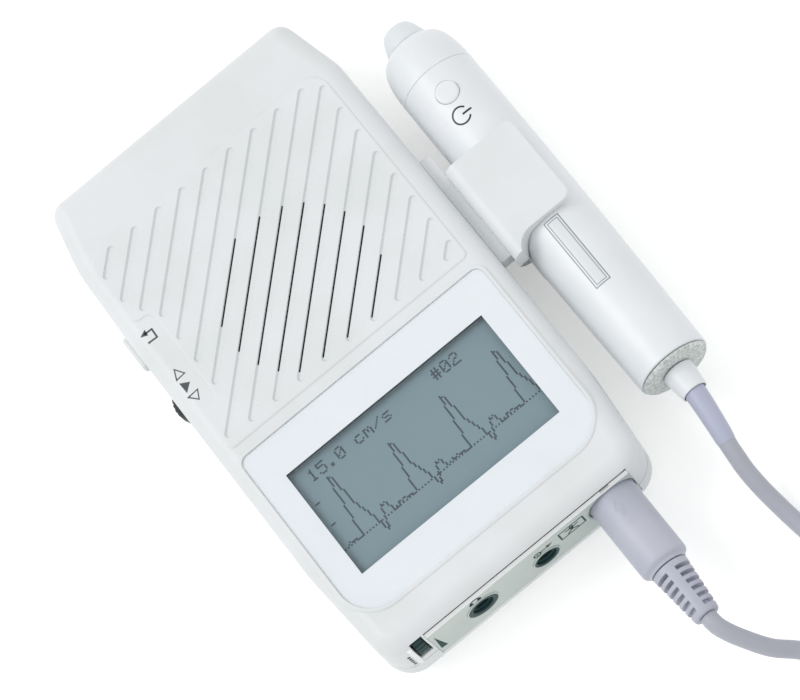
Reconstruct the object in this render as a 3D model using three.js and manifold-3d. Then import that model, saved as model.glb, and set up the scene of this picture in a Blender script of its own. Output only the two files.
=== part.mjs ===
// Bidirectional doppler: a pocket ultrasound unit with its pencil probe clipped to its side.
// Millimetres. The unit lies on its back: +X towards the probe, +Y towards the speaker end,
// +Z out of the front face. The origin is on the table, under the middle of unit and probe.
import * as THREE from 'three';
import Module from 'manifold-3d';
import { mergeVertices } from 'three/addons/utils/BufferGeometryUtils.js';

const wasm = await Module();
wasm.setup();

// Clearances and the overrun of a cutter
const gap = 0.3;
const snug = 0.1;
const overrun = 1;
const cutDeep = 200;
const weld = 1e-5;

// Unit housing: its width follows the display's glass
const glassWidth = 58;
const glassMargin = 8.5;
const unitLength = 134;
const unitThick = 27.5;
const wall = 2;
const rearRound = 9.5;
const frontRound = 4.5;
const partingZ = 13;
const bottomTaper = 2.2;
const bottomTaperRun = 27;
const topTaper = 3.9;
const topTaperLength = 17;
const bottomCorner = 6.5;
const topCorner = 4;
const lowerBreakRound = 60;
const upperBreakRound = 15;
const leastRound = 0.3;
const faceStep = 0.35;

// Speaker grille in the front face
const grilleMargin = 4.3;
const grilleTopShare = 0.3791;
const faceBridge = 3.9;
const grilleCorner = 5;
const grilleFoot = 1.5;
const grooveCount = 17;
const grooveWidth = 1.7;
const grooveDepth = 0.75;
const groovePitchX = 6.815;
const grooveStart = 8.5;
const grooveTopInset = 2.4;
const grooveBottomInset = 2.1;
const grooveRightInset = 1.7;
const grooveLeftInset = 1.8;
const slotWidth = 0.45;
const slotOvershoot = 0.2;
const slotEndInset = 0.6;

// Key legend tab that the grille panel steps around
const tabWidth = 9;
const tabTopShare = 0.648;
const tabBottomShare = 0.1944;
const tabRound = 2;
const tabMargin = 1.9;

// Display window and liquid crystal display
const windowRun = 10;
const windowThick = 1.5;
const windowTopCorner = 2;
const windowBottomCorner = 8.5;
const rimWidth = 1.1;
const windowSink = 0.15;
const viewHeightShare = 0.2127;
const viewMargin = 0.9;
const glassBorder = 1.9;
const glassTerminals = 4.5;
const frameFootInset = 5.7;
const frameHeadInset = 5.1;
const glassThick = 2.6;
const frameWall = 1.2;
const frameLip = 1.6;
const backlightThick = 2.2;

// Main board
const boardThick = 1.6;
const boardUnderZ = 17.3;
const boardMargin = 4.5;
const boardTopMargin = 16;
const boardRun = 15.4;
const clampRadius = 1.3;
const clampInset = 4;
const clampLowInset = 0.8;
const clampHighInset = 6;

// Speaker behind the grille
const speakerRise = 19.4;
const speakerMargin = 18.3;
const clothThick = 0.3;
const speakerRim = 3.4;
const speakerRimThick = 0.8;
const basketDepth = 4;
const basketWall = 0.8;
const coilRadius = 6.5;
const magnetRadius = 9;
const magnetThick = 1;
const coneWall = 0.4;
const coneRise = 2;
const capRise = 1.2;
const speakerCollar = 1;
const speakerCollarDepth = 3.6;

// Two AA cells and their bay
const cellRadius = 7.15;
const cellLength = 49.2;
const nubRadius = 2.75;
const nubLength = 1.3;
const cellSpacing = 15;
const cellLift = 2.6;
const bayEndMargin = 5.9;
const bayWall = 1.2;
const contactThick = 0.5;
const contactBoss = 0.9;
const contactBossRadius = 2.6;
const contactWidth = 11;
const contactHeight = 10;
const contactDrop = 2;
const ribThick = 1.4;
const ledgeThick = 1.2;
const farWallLift = 1.5;

// Battery cover that slides off along the back
const coverHalfWidth = 17;
const coverEndHeight = 11;
const tongueReach = 1.2;
const tongueThick = 0.8;
const tongueLift = 1.1;
const coverTongueInset = 2.8;
const coverTongueMargin = 13;
const gripCount = 5;
const gripPitch = 2.4;
const gripWidth = 1.1;
const gripDepth = 0.6;
const gripLength = 16;
const gripMargin = 23;

// Case screws
const screwHeadRadius = 2;
const screwHeadThick = 1.8;
const screwRadius = 1.25;
const screwRecess = 1.2;
const screwBite = 7;
const driverRadius = 1.2;
const driverHalfWidth = 0.4;
const driverDepth = 1;
const postRadius = 2.9;
const upperPostInset = 11;
const upperPostMargin = 12;
const lowerPostRun = 9.5;

// Keys on the left side
const keyZ = 20.5;
const returnShare = 0.5989;
const returnLength = 9;
const returnHeight = 3.4;
const returnProud = 1;
const returnFlange = 0.9;
const returnFlangeThick = 1;
const returnTravel = 0.5;
const switchDepth = 3.4;
const switchWidth = 6;
const switchHeight = 4.5;
const plungerRadius = 1.3;
const jogShare = 0.2925;
const jogRadius = 6.6;
const jogProud = 1.1;
const jogThick = 3;
const jogAxle = 1.5;
const jogTravel = 0.5;
const jogForkThick = 1.2;
const jogTeeth = 5;
const jogToothPitchDeg = 11;
const jogToothRadius = 0.35;
const carrierReach = 3;
const carrierHalf = 4;
const hubWall = 1.2;

// Volume wheel in the corner of the connector end
const wheelInset = 10.3;
const wheelThick = 2.6;
const wheelRadius = 6.3;
const wheelZ = 18.8;
const wheelProud = 0.4;
const wheelTeeth = 30;
const wheelToothDepth = 0.35;
const wheelShaft = 1.5;
const wheelSlotGap = 0.35;
const potThick = 3.4;
const potHalf = 4.2;
const potFoot = 8;
const potFootThick = 1.4;
const slotLowZ = 13.4;
const slotHighZ = 24.9;
const guardWidth = 0.9;
const guardLowZ = 13.6;

// Connector panel and sockets
const panelLeftInset = 12.5;
const panelRightInset = 7.3;
const panelLowZ = 9.4;
const panelHighZ = 24.9;
const panelCorner = 1.2;
const panelRecess = 0;
const panelFlange = 0.5;
const panelFlangeThick = 1;
const panelFlangeHighZ = 23.2;
const earphoneShare = 0.2746;
const earphoneZ = 16.8;
const earphoneNose = 4.1;
const outputShare = 0.6189;
const outputZ = 15;
const outputNose = 3.7;
const jackBore = 1.8;
const jackBoreDepth = 9;
const jackNoseProud = 0.2;
const jackMouth = 2.6;
const jackMouthDepth = 0.8;
const jackHalfWidth = 3.3;
const jackHalfHeight = 3.3;
const jackLength = 10.6;
const jackFoot = 5;
const jackFootHalf = 2.4;
const jackFootThick = 1.6;
const snapSlitLength = 2.6;
const snapSlitWidth = 0.7;
const snapSlitZ = 24.3;

// Probe socket and plug
const plugInset = 6.1;
const plugZ = 17;
const entryRadius = 6.2;
const entryDepth = 0.9;
const socketNose = 5;
const socketBore = 4.4;
const socketPost = 3.2;
const socketDepth = 8;
const socketLength = 10.6;
const socketHalf = 5.4;
const plugRadius = 5.7;
const plugLength = 19.5;
const plugChamfer = 1.3;
const plugFlatDepth = 0.35;
const shellRadius = 4.1;
const shellWall = 0.5;
const shellReach = 6.5;
const shellRoot = 3;
const insertThick = 2.4;
const pinRadius = 0.45;
const pinReach = 4.5;
const pinCircle = 1.9;
const pinCount = 4;
const reliefLength = 13.2;
const reliefBase = 4.3;
const reliefTip = 3.1;
const reliefCore = 2.3;
const reliefCollar = 1;
const reliefRows = 6;
const reliefSlot = 1;
const reliefBridge = 1.1;

// Holder for the probe on the right side
const holderSetback = 21.9;
const holderLength = 29;
const clipLength = 23;
const holderFillet = 5;
const holderReach = 6.6;
const armThick = 1.6;
const holderBack = 2.1;
const holderCorner = 2.2;
const armRound = 3;
const baseThick = 2.4;
const baseLead = 7.5;
const baseLength = 33.5;
const baseHalfHeight = 6.5;
const keyRise = 1;
const keyHalf = 2.5;
const pegRadius = 1.5;
const pegReach = 1.3;
const pegOffset = 8;

// Probe
const probeOut = 14.5;
const probeZ = 14;
const probeRadius = 9.4;
const probeEndRadius = 8.7;
const probeEndRun = 15.3;
const probeTaperRun = 59;
const probeSeamRun = 101.9;
const headLength = 11.1;
const tipLength = 6.2;
const probeNeckRadius = 5.4;
const probeShoulderRadius = 6.7;
const probeShoulder = 0.8;
const ogiveShares = [0.35, 0.65, 0.85];
const ogivePower = 2.4;
const probeTipRadius = 3.95;
const probeTipDome = 0.9;
const probeWall = 1.6;
const spigotLength = 3;
const spigotWall = 1.2;
const tipSeat = 3;
const crystalThick = 0.6;
const crystalSplit = 0.35;
const endCapThick = 1.6;
const endCapLip = 0.9;
const probeButtonSetback = 7;
const probeButtonRadius = 2.75;
const probeButtonProud = 0.5;
const probeButtonFlange = 0.7;
const probeButtonThick = 1;
const buttonCrownShare = 0.8;
const probeButtonTravel = 0.4;
const probeSwitchHalf = 3;
const probeSwitchThick = 2;
const probeBoardWidth = 11;
const probeBoardThick = 1.2;
const probeBoardStartRun = 23;
const probeBoardSetback = 4.9;
const collarLength = 6.2;
const collarBase = 3.7;
const collarTip = 3.1;
const sleeveBase = 2.75;
const sleeveTip = 2.2;

// Cord: one cable from the probe's sleeve to the plug
const cordDiameter = 4;
const cordSides = 8;
const floorLift = 0.05;
const coilAcross = 31.5;
const coilDown = 85;
const coilTurns = 8.5;
const coilMeanRadius = 23.5;
const coilPitch = 4.6;
const coilLayers = 2;
const coilStartDeg = 51;
const coilClimbTurns = 0.25;
const coilStepsPerTurn = 24;
const coilSides = 6;

// Facet counts
const fine = 32;
const round = 24;
const small = 16;

// Derived places of the unit: a run is measured from the connector end
const halfWidth = glassWidth / 2 + glassMargin;
const halfLength = unitLength / 2;
const bottomHalfWidth = halfWidth - bottomTaper;
const topHalfWidth = halfWidth - topTaper;
const lowerBreakY = bottomTaperRun - halfLength;
const upperBreakY = halfLength - topTaperLength;
const viewWidth = glassWidth - 2 * glassBorder;
const viewHeight = unitLength * viewHeightShare;
const glassHeight = viewHeight + glassTerminals;
const frameHalfHeight = glassHeight / 2 + gap + frameWall;
const windowHalfWidth = halfWidth - grilleMargin;
const windowBottom = windowRun - halfLength;
const viewCentreY = windowBottom + frameFootInset + frameHalfHeight;
const windowTop = viewCentreY + frameHalfHeight + frameHeadInset;
const grilleHalfWidth = halfWidth - grilleMargin;
const grilleBottom = windowTop + faceBridge;
const grilleTop = unitLength * grilleTopShare;
const grilleLength = grilleTop - grilleBottom;
const grooveFirst = grooveStart - grilleHalfWidth - grilleTop;
const grooveTop = grilleTop - grooveTopInset;
const grooveBottom = grilleBottom + grooveBottomInset;
const grooveRight = grilleHalfWidth - grooveRightInset;
const grooveLeft = grooveLeftInset - grilleHalfWidth;
const tabRight = tabWidth - halfWidth;
const tabTop = grilleBottom + tabTopShare * grilleLength;
const tabBottom = grilleBottom + tabBottomShare * grilleLength;
const speakerY = grilleBottom + speakerRise;
const speakerRadius = halfWidth - speakerMargin;
const slotFieldRadius = speakerRadius + slotOvershoot;
const returnY = grilleBottom + returnShare * grilleLength;
const jogY = grilleBottom + jogShare * grilleLength;
const boardHalfWidth = halfWidth - boardMargin;
const boardTop = halfLength - boardTopMargin;
const boardBottom = boardRun - halfLength;
const clampX = boardHalfWidth - clampInset;
const clampLowY = windowTop - clampLowInset;
const clampHighY = boardTop - clampHighInset;
const wheelX = wheelInset - halfWidth;
const panelLeft = panelLeftInset - halfWidth;
const panelRight = halfWidth - panelRightInset;
const plugX = panelRight - plugInset;
const earphoneX = panelLeft + earphoneShare * (plugX - panelLeft);
const outputX = panelLeft + outputShare * (plugX - panelLeft);
const probeX = halfWidth + probeOut;
const holderOuterX = probeX + holderReach;
const probeEndY = probeEndRun - halfLength;
const probeTaperY = probeTaperRun - halfLength;
const probeSeamY = probeSeamRun - halfLength;
const holderTop = probeSeamY - holderSetback;
const holderBottom = holderTop - holderLength;
const holderStep = holderTop - clipLength;
const baseTop = holderTop + baseLead;
const baseBottom = baseTop - baseLength;
const probeNeckY = probeSeamY + headLength;
const probeTipY = probeNeckY + tipLength;
const probeButtonY = probeSeamY - probeButtonSetback;
const probeBoardStart = probeBoardStartRun - halfLength;
const probeBoardEnd = probeSeamY - probeBoardSetback;
const coilX = halfWidth + coilAcross;
const coilY = -halfLength - coilDown;
const frontInner = unitThick - wall;
const cordRadius = cordDiameter / 2;
const floorZ = cordRadius + floorLift;
const faceZ = unitThick - faceStep;

// Turning helpers between geometries and solids
function solid(geometry) {
  const bare = geometry.clone();
  for (const name of Object.keys(bare.attributes)) {
    if (name !== 'position') bare.deleteAttribute(name);
  }
  const merged = mergeVertices(bare, weld);
  const vertProperties = new Float32Array(merged.attributes.position.array);
  const triVerts = new Uint32Array(merged.index.array);
  if (signedVolume(vertProperties, triVerts) < 0) triVerts.reverse();
  return new wasm.Manifold(new wasm.Mesh({ numProp: 3, vertProperties, triVerts }));
}

function signedVolume(positions, index) {
  const corner = (i) => new THREE.Vector3().fromArray(positions, 3 * index[i]);
  let sum = 0;
  for (let i = 0; i < index.length; i += 3) sum += corner(i).dot(corner(i + 1).cross(corner(i + 2)));
  return sum;
}

function geometryOf(body) {
  const mesh = body.getMesh();
  const geometry = new THREE.BufferGeometry();
  geometry.setAttribute('position', new THREE.BufferAttribute(mesh.vertProperties, 3));
  geometry.setIndex(new THREE.BufferAttribute(mesh.triVerts, 1));
  return geometry;
}

const cut = (body, ...tools) => tools.reduce((rest, tool) => rest.subtract(tool), body);
const join = (body, ...more) => more.reduce((sum, piece) => sum.add(piece), body);

// A block between two corners
function block(x0, x1, y0, y1, z0, z1) {
  const geometry = new THREE.BoxGeometry(x1 - x0, y1 - y0, z1 - z0);
  geometry.translate((x0 + x1) / 2, (y0 + y1) / 2, (z0 + z1) / 2);
  return solid(geometry);
}

// A round bar along one axis from start to end
function bar(axis, radius, a, b, start, end, sides = round) {
  const geometry = new THREE.CylinderGeometry(radius, radius, end - start, sides);
  const middle = (start + end) / 2;
  if (axis === 'x') geometry.rotateZ(-Math.PI / 2).translate(middle, a, b);
  if (axis === 'y') geometry.translate(a, middle, b);
  if (axis === 'z') geometry.rotateX(Math.PI / 2).translate(a, b, middle);
  return solid(geometry);
}

// A revolved profile of [radius, distance] pairs, its axis along Y or Z
function turned(axis, profile, a, b, sides = round) {
  const points = profile.map(([radius, along]) => new THREE.Vector2(radius, along));
  const geometry = new THREE.LatheGeometry(points, sides);
  if (axis === 'y') geometry.translate(a, 0, b);
  if (axis === 'z') geometry.rotateX(Math.PI / 2).translate(a, b, 0);
  return solid(geometry);
}

// An outline extruded along Z
function slab(outline, z0, z1) {
  const shape = new THREE.Shape(outline);
  const geometry = new THREE.ExtrudeGeometry(shape, { depth: z1 - z0, bevelEnabled: false });
  geometry.translate(0, 0, z0);
  return solid(geometry);
}

// A convex outline with rounded corners, moved inwards by inset: every ring has the same count
function roundedOutline(corners, inset = 0) {
  const count = corners.length;
  const points = [];
  const edge = corners.map((corner, i) => {
    const next = corners[(i + 1) % count];
    const along = new THREE.Vector2(next.x - corner.x, next.y - corner.y).normalize();
    const inward = new THREE.Vector2(-along.y, along.x);
    return { along, inward, at: new THREE.Vector2(corner.x, corner.y).addScaledVector(inward, inset) };
  });
  corners.forEach((corner, i) => {
    const before = edge[(i + count - 1) % count];
    const after = edge[i];
    const turn = before.along.cross(after.along);
    const reach = new THREE.Vector2().subVectors(after.at, before.at).cross(after.along) / turn;
    const tip = before.at.clone().addScaledVector(before.along, reach);
    const radius = Math.max(corner.r - inset, leastRound);
    const half = Math.atan2(turn, before.along.dot(after.along)) / 2;
    const centre = tip.clone()
      .addScaledVector(before.along, -radius * Math.tan(half))
      .addScaledVector(before.inward, radius);
    const first = Math.atan2(-before.inward.y, -before.inward.x);
    for (let k = 0; k <= corner.steps; k += 1) {
      const angle = first + (2 * half * k) / corner.steps;
      points.push(new THREE.Vector2(
        centre.x + radius * Math.cos(angle),
        centre.y + radius * Math.sin(angle),
      ));
    }
  });
  return points;
}

// A closed skin through rings of [outline, z]
function loft(rings) {
  const count = rings[0][0].length;
  const positions = [];
  const index = [];
  rings.forEach(([outline, z]) => outline.forEach((p) => positions.push(p.x, p.y, z)));
  for (let k = 0; k + 1 < rings.length; k += 1) {
    for (let i = 0; i < count; i += 1) {
      const a = k * count + i;
      const b = k * count + ((i + 1) % count);
      index.push(a, b, b + count, a, b + count, a + count);
    }
  }
  const top = (rings.length - 1) * count;
  THREE.ShapeUtils.triangulateShape(rings[0][0], []).forEach(([a, b, c]) => index.push(a, c, b));
  THREE.ShapeUtils.triangulateShape(rings.at(-1)[0], [])
    .forEach(([a, b, c]) => index.push(top + a, top + b, top + c));
  const geometry = new THREE.BufferGeometry();
  geometry.setAttribute('position', new THREE.Float32BufferAttribute(positions, 3));
  geometry.setIndex(index);
  return solid(geometry);
}

function roundedBox(x0, x1, y0, y1, corner, steps) {
  return [
    { x: x0, y: y0, r: corner, steps },
    { x: x1, y: y0, r: corner, steps },
    { x: x1, y: y1, r: corner, steps },
    { x: x0, y: y1, r: corner, steps },
  ];
}

// Housing form: the plan outline carried up the rolled rear and front edges to its ceiling
function housingForm(inset, ceiling) {
  const plan = [
    { x: -bottomHalfWidth, y: -halfLength, r: bottomCorner, steps: 5 },
    { x: bottomHalfWidth, y: -halfLength, r: bottomCorner, steps: 5 },
    { x: halfWidth, y: lowerBreakY, r: lowerBreakRound, steps: 1 },
    { x: halfWidth, y: upperBreakY, r: upperBreakRound, steps: 2 },
    { x: topHalfWidth, y: halfLength, r: topCorner, steps: 4 },
    { x: -topHalfWidth, y: halfLength, r: topCorner, steps: 4 },
    { x: -halfWidth, y: upperBreakY, r: upperBreakRound, steps: 2 },
    { x: -halfWidth, y: lowerBreakY, r: lowerBreakRound, steps: 1 },
  ];
  const rings = [];
  const rearSteps = 4;
  const frontSteps = 3;
  const rear = rearRound - inset;
  const front = frontRound - inset;
  for (let k = 0; k <= rearSteps; k += 1) {
    const angle = (Math.PI / 2) * (k / rearSteps);
    const outline = roundedOutline(plan, inset + rear * (1 - Math.sin(angle)));
    rings.push([outline, inset + rear * (1 - Math.cos(angle))]);
  }
  for (let k = 0; k <= frontSteps; k += 1) {
    const angle = (Math.PI / 2) * (k / frontSteps);
    const outline = roundedOutline(plan, inset + front * (1 - Math.cos(angle)));
    rings.push([outline, ceiling - front * (1 - Math.sin(angle))]);
  }
  return loft(rings);
}

const outerForm = housingForm(0, faceZ);
const innerForm = housingForm(wall, frontInner);
const frontHalf = block(-cutDeep, cutDeep, -cutDeep, cutDeep, partingZ + gap / 2, cutDeep);
const rearHalf = block(-cutDeep, cutDeep, -cutDeep, cutDeep, -cutDeep, partingZ - gap / 2);

// Grille: a raised panel with diagonal grooves from edge to edge, and through slots over the speaker
function grooveEnds(k) {
  const offset = grooveFirst + groovePitchX * k;
  const highX = Math.min(grooveRight, grooveTop + offset);
  const tabLimitX = tabRight + tabMargin;
  const tabLimitTop = tabTop + tabMargin;
  const tabLimitBottom = tabBottom - tabMargin;
  let lowX = Math.max(grooveLeft, grooveBottom + offset);
  const sideY = tabLimitX - offset;
  const topX = tabLimitTop + offset;
  if (sideY > tabLimitBottom && sideY < tabLimitTop) lowX = tabLimitX;
  else if (topX > grooveLeft && topX < tabLimitX) lowX = topX;
  return { low: new THREE.Vector2(lowX, lowX - offset), high: new THREE.Vector2(highX, highX - offset) };
}

function stadium(low, high, width) {
  const along = new THREE.Vector2().subVectors(high, low).normalize();
  const base = Math.atan2(along.y, along.x);
  const ends = 5;
  const points = [];
  for (let k = 0; k <= ends; k += 1) {
    const angle = base - Math.PI / 2 + (Math.PI * k) / ends;
    points.push(
      new THREE.Vector2(high.x + (width / 2) * Math.cos(angle), high.y + (width / 2) * Math.sin(angle)),
    );
  }
  for (let k = 0; k <= ends; k += 1) {
    const angle = base + Math.PI / 2 + (Math.PI * k) / ends;
    points.push(
      new THREE.Vector2(low.x + (width / 2) * Math.cos(angle), low.y + (width / 2) * Math.sin(angle)),
    );
  }
  return points;
}

function grilleCutters() {
  const cutters = [];
  const diagonal = Math.SQRT1_2;
  for (let k = 0; k < grooveCount; k += 1) {
    const { low, high } = grooveEnds(k);
    if (high.x - low.x < grooveWidth) continue;
    cutters.push(slab(stadium(low, high, grooveWidth), unitThick - grooveDepth, unitThick + overrun));
    const middleX = (grooveFirst + groovePitchX * k + speakerY) / 2;
    const away = Math.hypot(middleX, middleX - (grooveFirst + groovePitchX * k) - speakerY);
    const half = Math.sqrt(Math.max(slotFieldRadius ** 2 - away ** 2, 0)) * diagonal;
    const from = Math.max(middleX - half, low.x + slotEndInset);
    const to = Math.min(middleX + half, high.x - slotEndInset);
    if (to - from > 2 * slotEndInset) {
      const offset = grooveFirst + groovePitchX * k;
      const slot = stadium(
        new THREE.Vector2(from, from - offset), new THREE.Vector2(to, to - offset), slotWidth,
      );
      cutters.push(slab(slot, frontInner - overrun, unitThick));
    }
  }
  return cutters;
}

// Grille panel outline with the step round the key legends
function grillePanelOutline() {
  const shape = new THREE.Shape();
  const left = -grilleHalfWidth;
  const right = grilleHalfWidth;
  shape.moveTo(left + grilleFoot, grilleBottom);
  shape.lineTo(right - grilleFoot, grilleBottom);
  shape.absarc(right - grilleFoot, grilleBottom + grilleFoot, grilleFoot, -Math.PI / 2, 0);
  shape.lineTo(right, grilleTop - grilleCorner);
  shape.absarc(right - grilleCorner, grilleTop - grilleCorner, grilleCorner, 0, Math.PI / 2);
  shape.absarc(left + grilleCorner, grilleTop - grilleCorner, grilleCorner, Math.PI / 2, Math.PI);
  shape.absarc(left + tabRound, tabTop + tabRound + tabRound, tabRound, Math.PI, 1.5 * Math.PI);
  shape.absarc(tabRight - tabRound, tabTop, tabRound, Math.PI / 2, 0, true);
  shape.absarc(tabRight - tabRound, tabBottom, tabRound, 0, -Math.PI / 2, true);
  shape.absarc(left + tabRound, tabBottom - tabRound - tabRound, tabRound, Math.PI / 2, Math.PI);
  shape.absarc(left + grilleFoot, grilleBottom + grilleFoot, grilleFoot, Math.PI, 1.5 * Math.PI);
  return shape.getPoints(4);
}

function windowOutline(grow) {
  return roundedOutline([
    { x: -windowHalfWidth, y: windowBottom, r: windowBottomCorner, steps: 6 },
    { x: windowHalfWidth, y: windowBottom, r: windowBottomCorner, steps: 6 },
    { x: windowHalfWidth, y: windowTop, r: windowTopCorner, steps: 3 },
    { x: -windowHalfWidth, y: windowTop, r: windowTopCorner, steps: 3 },
  ], -grow);
}

const wheelY = -halfLength - wheelProud + wheelRadius;
const posts = [
  [upperPostInset - halfWidth, halfLength - upperPostMargin],
  [halfWidth - upperPostInset, halfLength - upperPostMargin],
  [(earphoneX + outputX) / 2, lowerPostRun - halfLength],
  [(outputX + jackHalfWidth + plugX - socketHalf) / 2, lowerPostRun - halfLength],
];
const clampPlaces = [-1, 1].flatMap((side) => [[side * clampX, clampLowY], [side * clampX, clampHighY]]);
const screwHeadZ = screwRecess + screwHeadThick;
const screwEndZ = partingZ + screwBite;

// Openings that both shells share at the connector end
function connectorOpening() {
  return block(
    panelLeft, panelRight, -halfLength - overrun, -halfLength + wall + overrun, panelLowZ, panelHighZ,
  );
}

function wheelSlot() {
  const half = wheelThick / 2 + wheelSlotGap;
  return block(
    wheelX - half, wheelX + half, -halfLength - overrun, -halfLength + wall + overrun, slotLowZ, slotHighZ,
  );
}

const sideWallCut = (y, halfY, halfZ) => block(
  -halfWidth - overrun, -halfWidth + wall + overrun, y - halfY, y + halfY, keyZ - halfZ, keyZ + halfZ,
);

const pegHoles = (depth) => [-pegOffset, pegOffset].map(
  (dy) => bar(
    'x', pegRadius + gap, (baseTop + baseBottom) / 2 + dy, probeZ, halfWidth - depth, halfWidth + overrun,
    small,
  ),
);

function frontShell() {
  const skin = cut(outerForm.intersect(frontHalf), innerForm);
  const collar = cut(
    bar(
      'z', speakerRadius + gap + speakerCollar, 0, speakerY, frontInner - speakerCollarDepth,
      frontInner + snug, fine,
    ),
    bar('z', speakerRadius + gap, 0, speakerY, frontInner - speakerCollarDepth - overrun, frontInner, fine),
  );
  const guard = block(
    wheelX - wheelThick / 2 - wheelSlotGap - guardWidth, wheelX - wheelThick / 2 - wheelSlotGap,
    -halfLength - wheelProud, -halfLength + wall, guardLowZ, slotHighZ - overrun,
  );
  const pillars = posts.map(
    ([x, y]) => bar('z', postRadius, x, y, partingZ + gap / 2, frontInner + snug, small),
  );
  const pilots = posts.map(([x, y]) => bar('z', screwRadius + gap, x, y, 0, screwEndZ + gap, small));
  const clamps = clampPlaces.map(
    ([x, y]) => bar('z', clampRadius, x, y, boardUnderZ + boardThick + gap, frontInner + snug, 8),
  );
  const grillePad = slab(grillePanelOutline(), frontInner + snug, unitThick);
  const windowRim = slab(windowOutline(rimWidth), frontInner + snug, unitThick);
  const whole = join(skin, grillePad, windowRim, collar, guard, ...pillars, ...clamps);
  const viewHole = block(
    -viewWidth / 2 - viewMargin, viewWidth / 2 + viewMargin,
    viewCentreY - viewHeight / 2 - viewMargin, viewCentreY + viewHeight / 2 + viewMargin,
    frontInner - overrun, unitThick + overrun,
  );
  return cut(
    whole,
    ...grilleCutters(),
    slab(windowOutline(gap), unitThick - windowThick, unitThick + overrun),
    viewHole,
    connectorOpening(),
    wheelSlot(),
    sideWallCut(returnY, returnLength / 2 + gap, returnHeight / 2 + gap),
    bar(
      'z', jogRadius + gap, -halfWidth - jogProud + jogRadius, jogY, keyZ - jogThick / 2 - gap,
      keyZ + jogThick / 2 + gap, fine,
    ),
    ...pegHoles(pegReach + gap),
    ...pilots,
  );
}

const cellZ = cellLift + cellRadius;
const crossWallStart = halfLength - bayEndMargin - bayWall;
const farContact = crossWallStart - gap - contactThick;
const cellEnd = farContact - contactBoss - gap;
const cellStart = cellEnd - cellLength - nubLength;
const bayInner = cellStart - gap - contactBoss - contactThick - gap;
const bayStart = bayInner - bayWall;
const coverTongueStart = bayInner + coverTongueInset;
const coverTongueEnd = halfLength - coverTongueMargin;
const farWallLow = wall + farWallLift;
const ribInner = coverHalfWidth + tongueReach + gap + snug;

function rearShell() {
  const skin = cut(outerForm.intersect(rearHalf), innerForm);
  const top = partingZ - gap / 2;
  const mouth = block(
    -coverHalfWidth - gap, coverHalfWidth + gap, bayInner, halfLength + overrun,
    -overrun, coverEndHeight + gap,
  );
  const rails = block(
    -ribInner + snug, ribInner - snug, coverTongueStart - gap, halfLength + overrun,
    tongueLift - gap, wall + gap,
  );
  const sides = [-1, 1].map((side) => {
    const from = Math.min(side * ribInner, side * (ribInner + ribThick));
    const to = Math.max(side * ribInner, side * (ribInner + ribThick));
    const rib = block(from, to, bayStart, crossWallStart + bayWall, wall / 2, top);
    const ledgeEdge = coverHalfWidth + gap;
    const ledgeFrom = Math.min(side * ledgeEdge, side * (ribInner + snug));
    const ledgeTo = Math.max(side * ledgeEdge, side * (ribInner + snug));
    const ledgeZ = wall + gap;
    const ledge = block(ledgeFrom, ledgeTo, bayStart, crossWallStart + bayWall, ledgeZ, ledgeZ + ledgeThick);
    return rib.add(ledge);
  });
  const nearWall = block(-ribInner - snug, ribInner + snug, bayStart, bayInner, wall / 2, top);
  const farWall = block(
    -ribInner - snug, ribInner + snug, crossWallStart, crossWallStart + bayWall, farWallLow, top,
  );
  const pillars = posts.map(([x, y]) => bar('z', postRadius, x, y, wall / 2, top, small));
  const clamps = clampPlaces.map(([x, y]) => bar('z', clampRadius, x, y, wall / 2, boardUnderZ - gap, 8));
  const open = cut(skin, mouth, rails);
  const whole = join(open, ...sides, nearWall, farWall, ...pillars, ...clamps);
  const shanks = posts.map(([x, y]) => bar('z', screwRadius + gap, x, y, -overrun, cutDeep, small));
  const heads = posts.map(
    ([x, y]) => bar('z', screwHeadRadius + gap, x, y, -overrun, screwHeadZ + snug, small),
  );
  return cut(
    whole, connectorOpening(), wheelSlot(),
    ...pegHoles(pegReach + gap), ...shanks, ...heads,
  );
}

function batteryCover() {
  const span = block(-coverHalfWidth, coverHalfWidth, bayInner + gap, cutDeep, -overrun, coverEndHeight);
  const skin = cut(outerForm.intersect(span), innerForm);
  const tongues = block(
    -coverHalfWidth - tongueReach, coverHalfWidth + tongueReach, coverTongueStart, coverTongueEnd,
    tongueLift, tongueLift + tongueThick,
  );
  const grips = [];
  for (let k = 0; k < gripCount; k += 1) {
    const y = halfLength - gripMargin + gripPitch * k;
    grips.push(block(-gripLength / 2, gripLength / 2, y, y + gripWidth, -overrun, gripDepth));
  }
  return cut(skin.add(tongues), ...grips);
}

function caseScrew([x, y]) {
  const body = turned('z', [
    [0, screwRecess], [screwHeadRadius, screwRecess], [screwHeadRadius, screwHeadZ],
    [screwRadius, screwHeadZ], [screwRadius, screwEndZ - screwRadius], [0, screwEndZ],
  ].reverse(), x, y, small);
  const arms = [[driverRadius, driverHalfWidth], [driverHalfWidth, driverRadius]];
  const slots = arms.map(([halfX, halfY]) => block(
    x - halfX, x + halfX, y - halfY, y + halfY, screwRecess - overrun, screwRecess + driverDepth,
  ));
  return cut(body, ...slots);
}

// Display
function displayWindow() {
  return slab(windowOutline(0), unitThick - windowThick + snug, unitThick - windowSink);
}

const frameTop = frontInner - gap;
const glassTop = frameTop - snug;
const glassBottom = glassTop - glassThick;
const backlightTop = glassBottom - gap;
const boardTopZ = boardUnderZ + boardThick;

const centred = (width, height, z0, z1) => block(
  -width / 2, width / 2, viewCentreY - height / 2, viewCentreY + height / 2, z0, z1,
);

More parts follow.
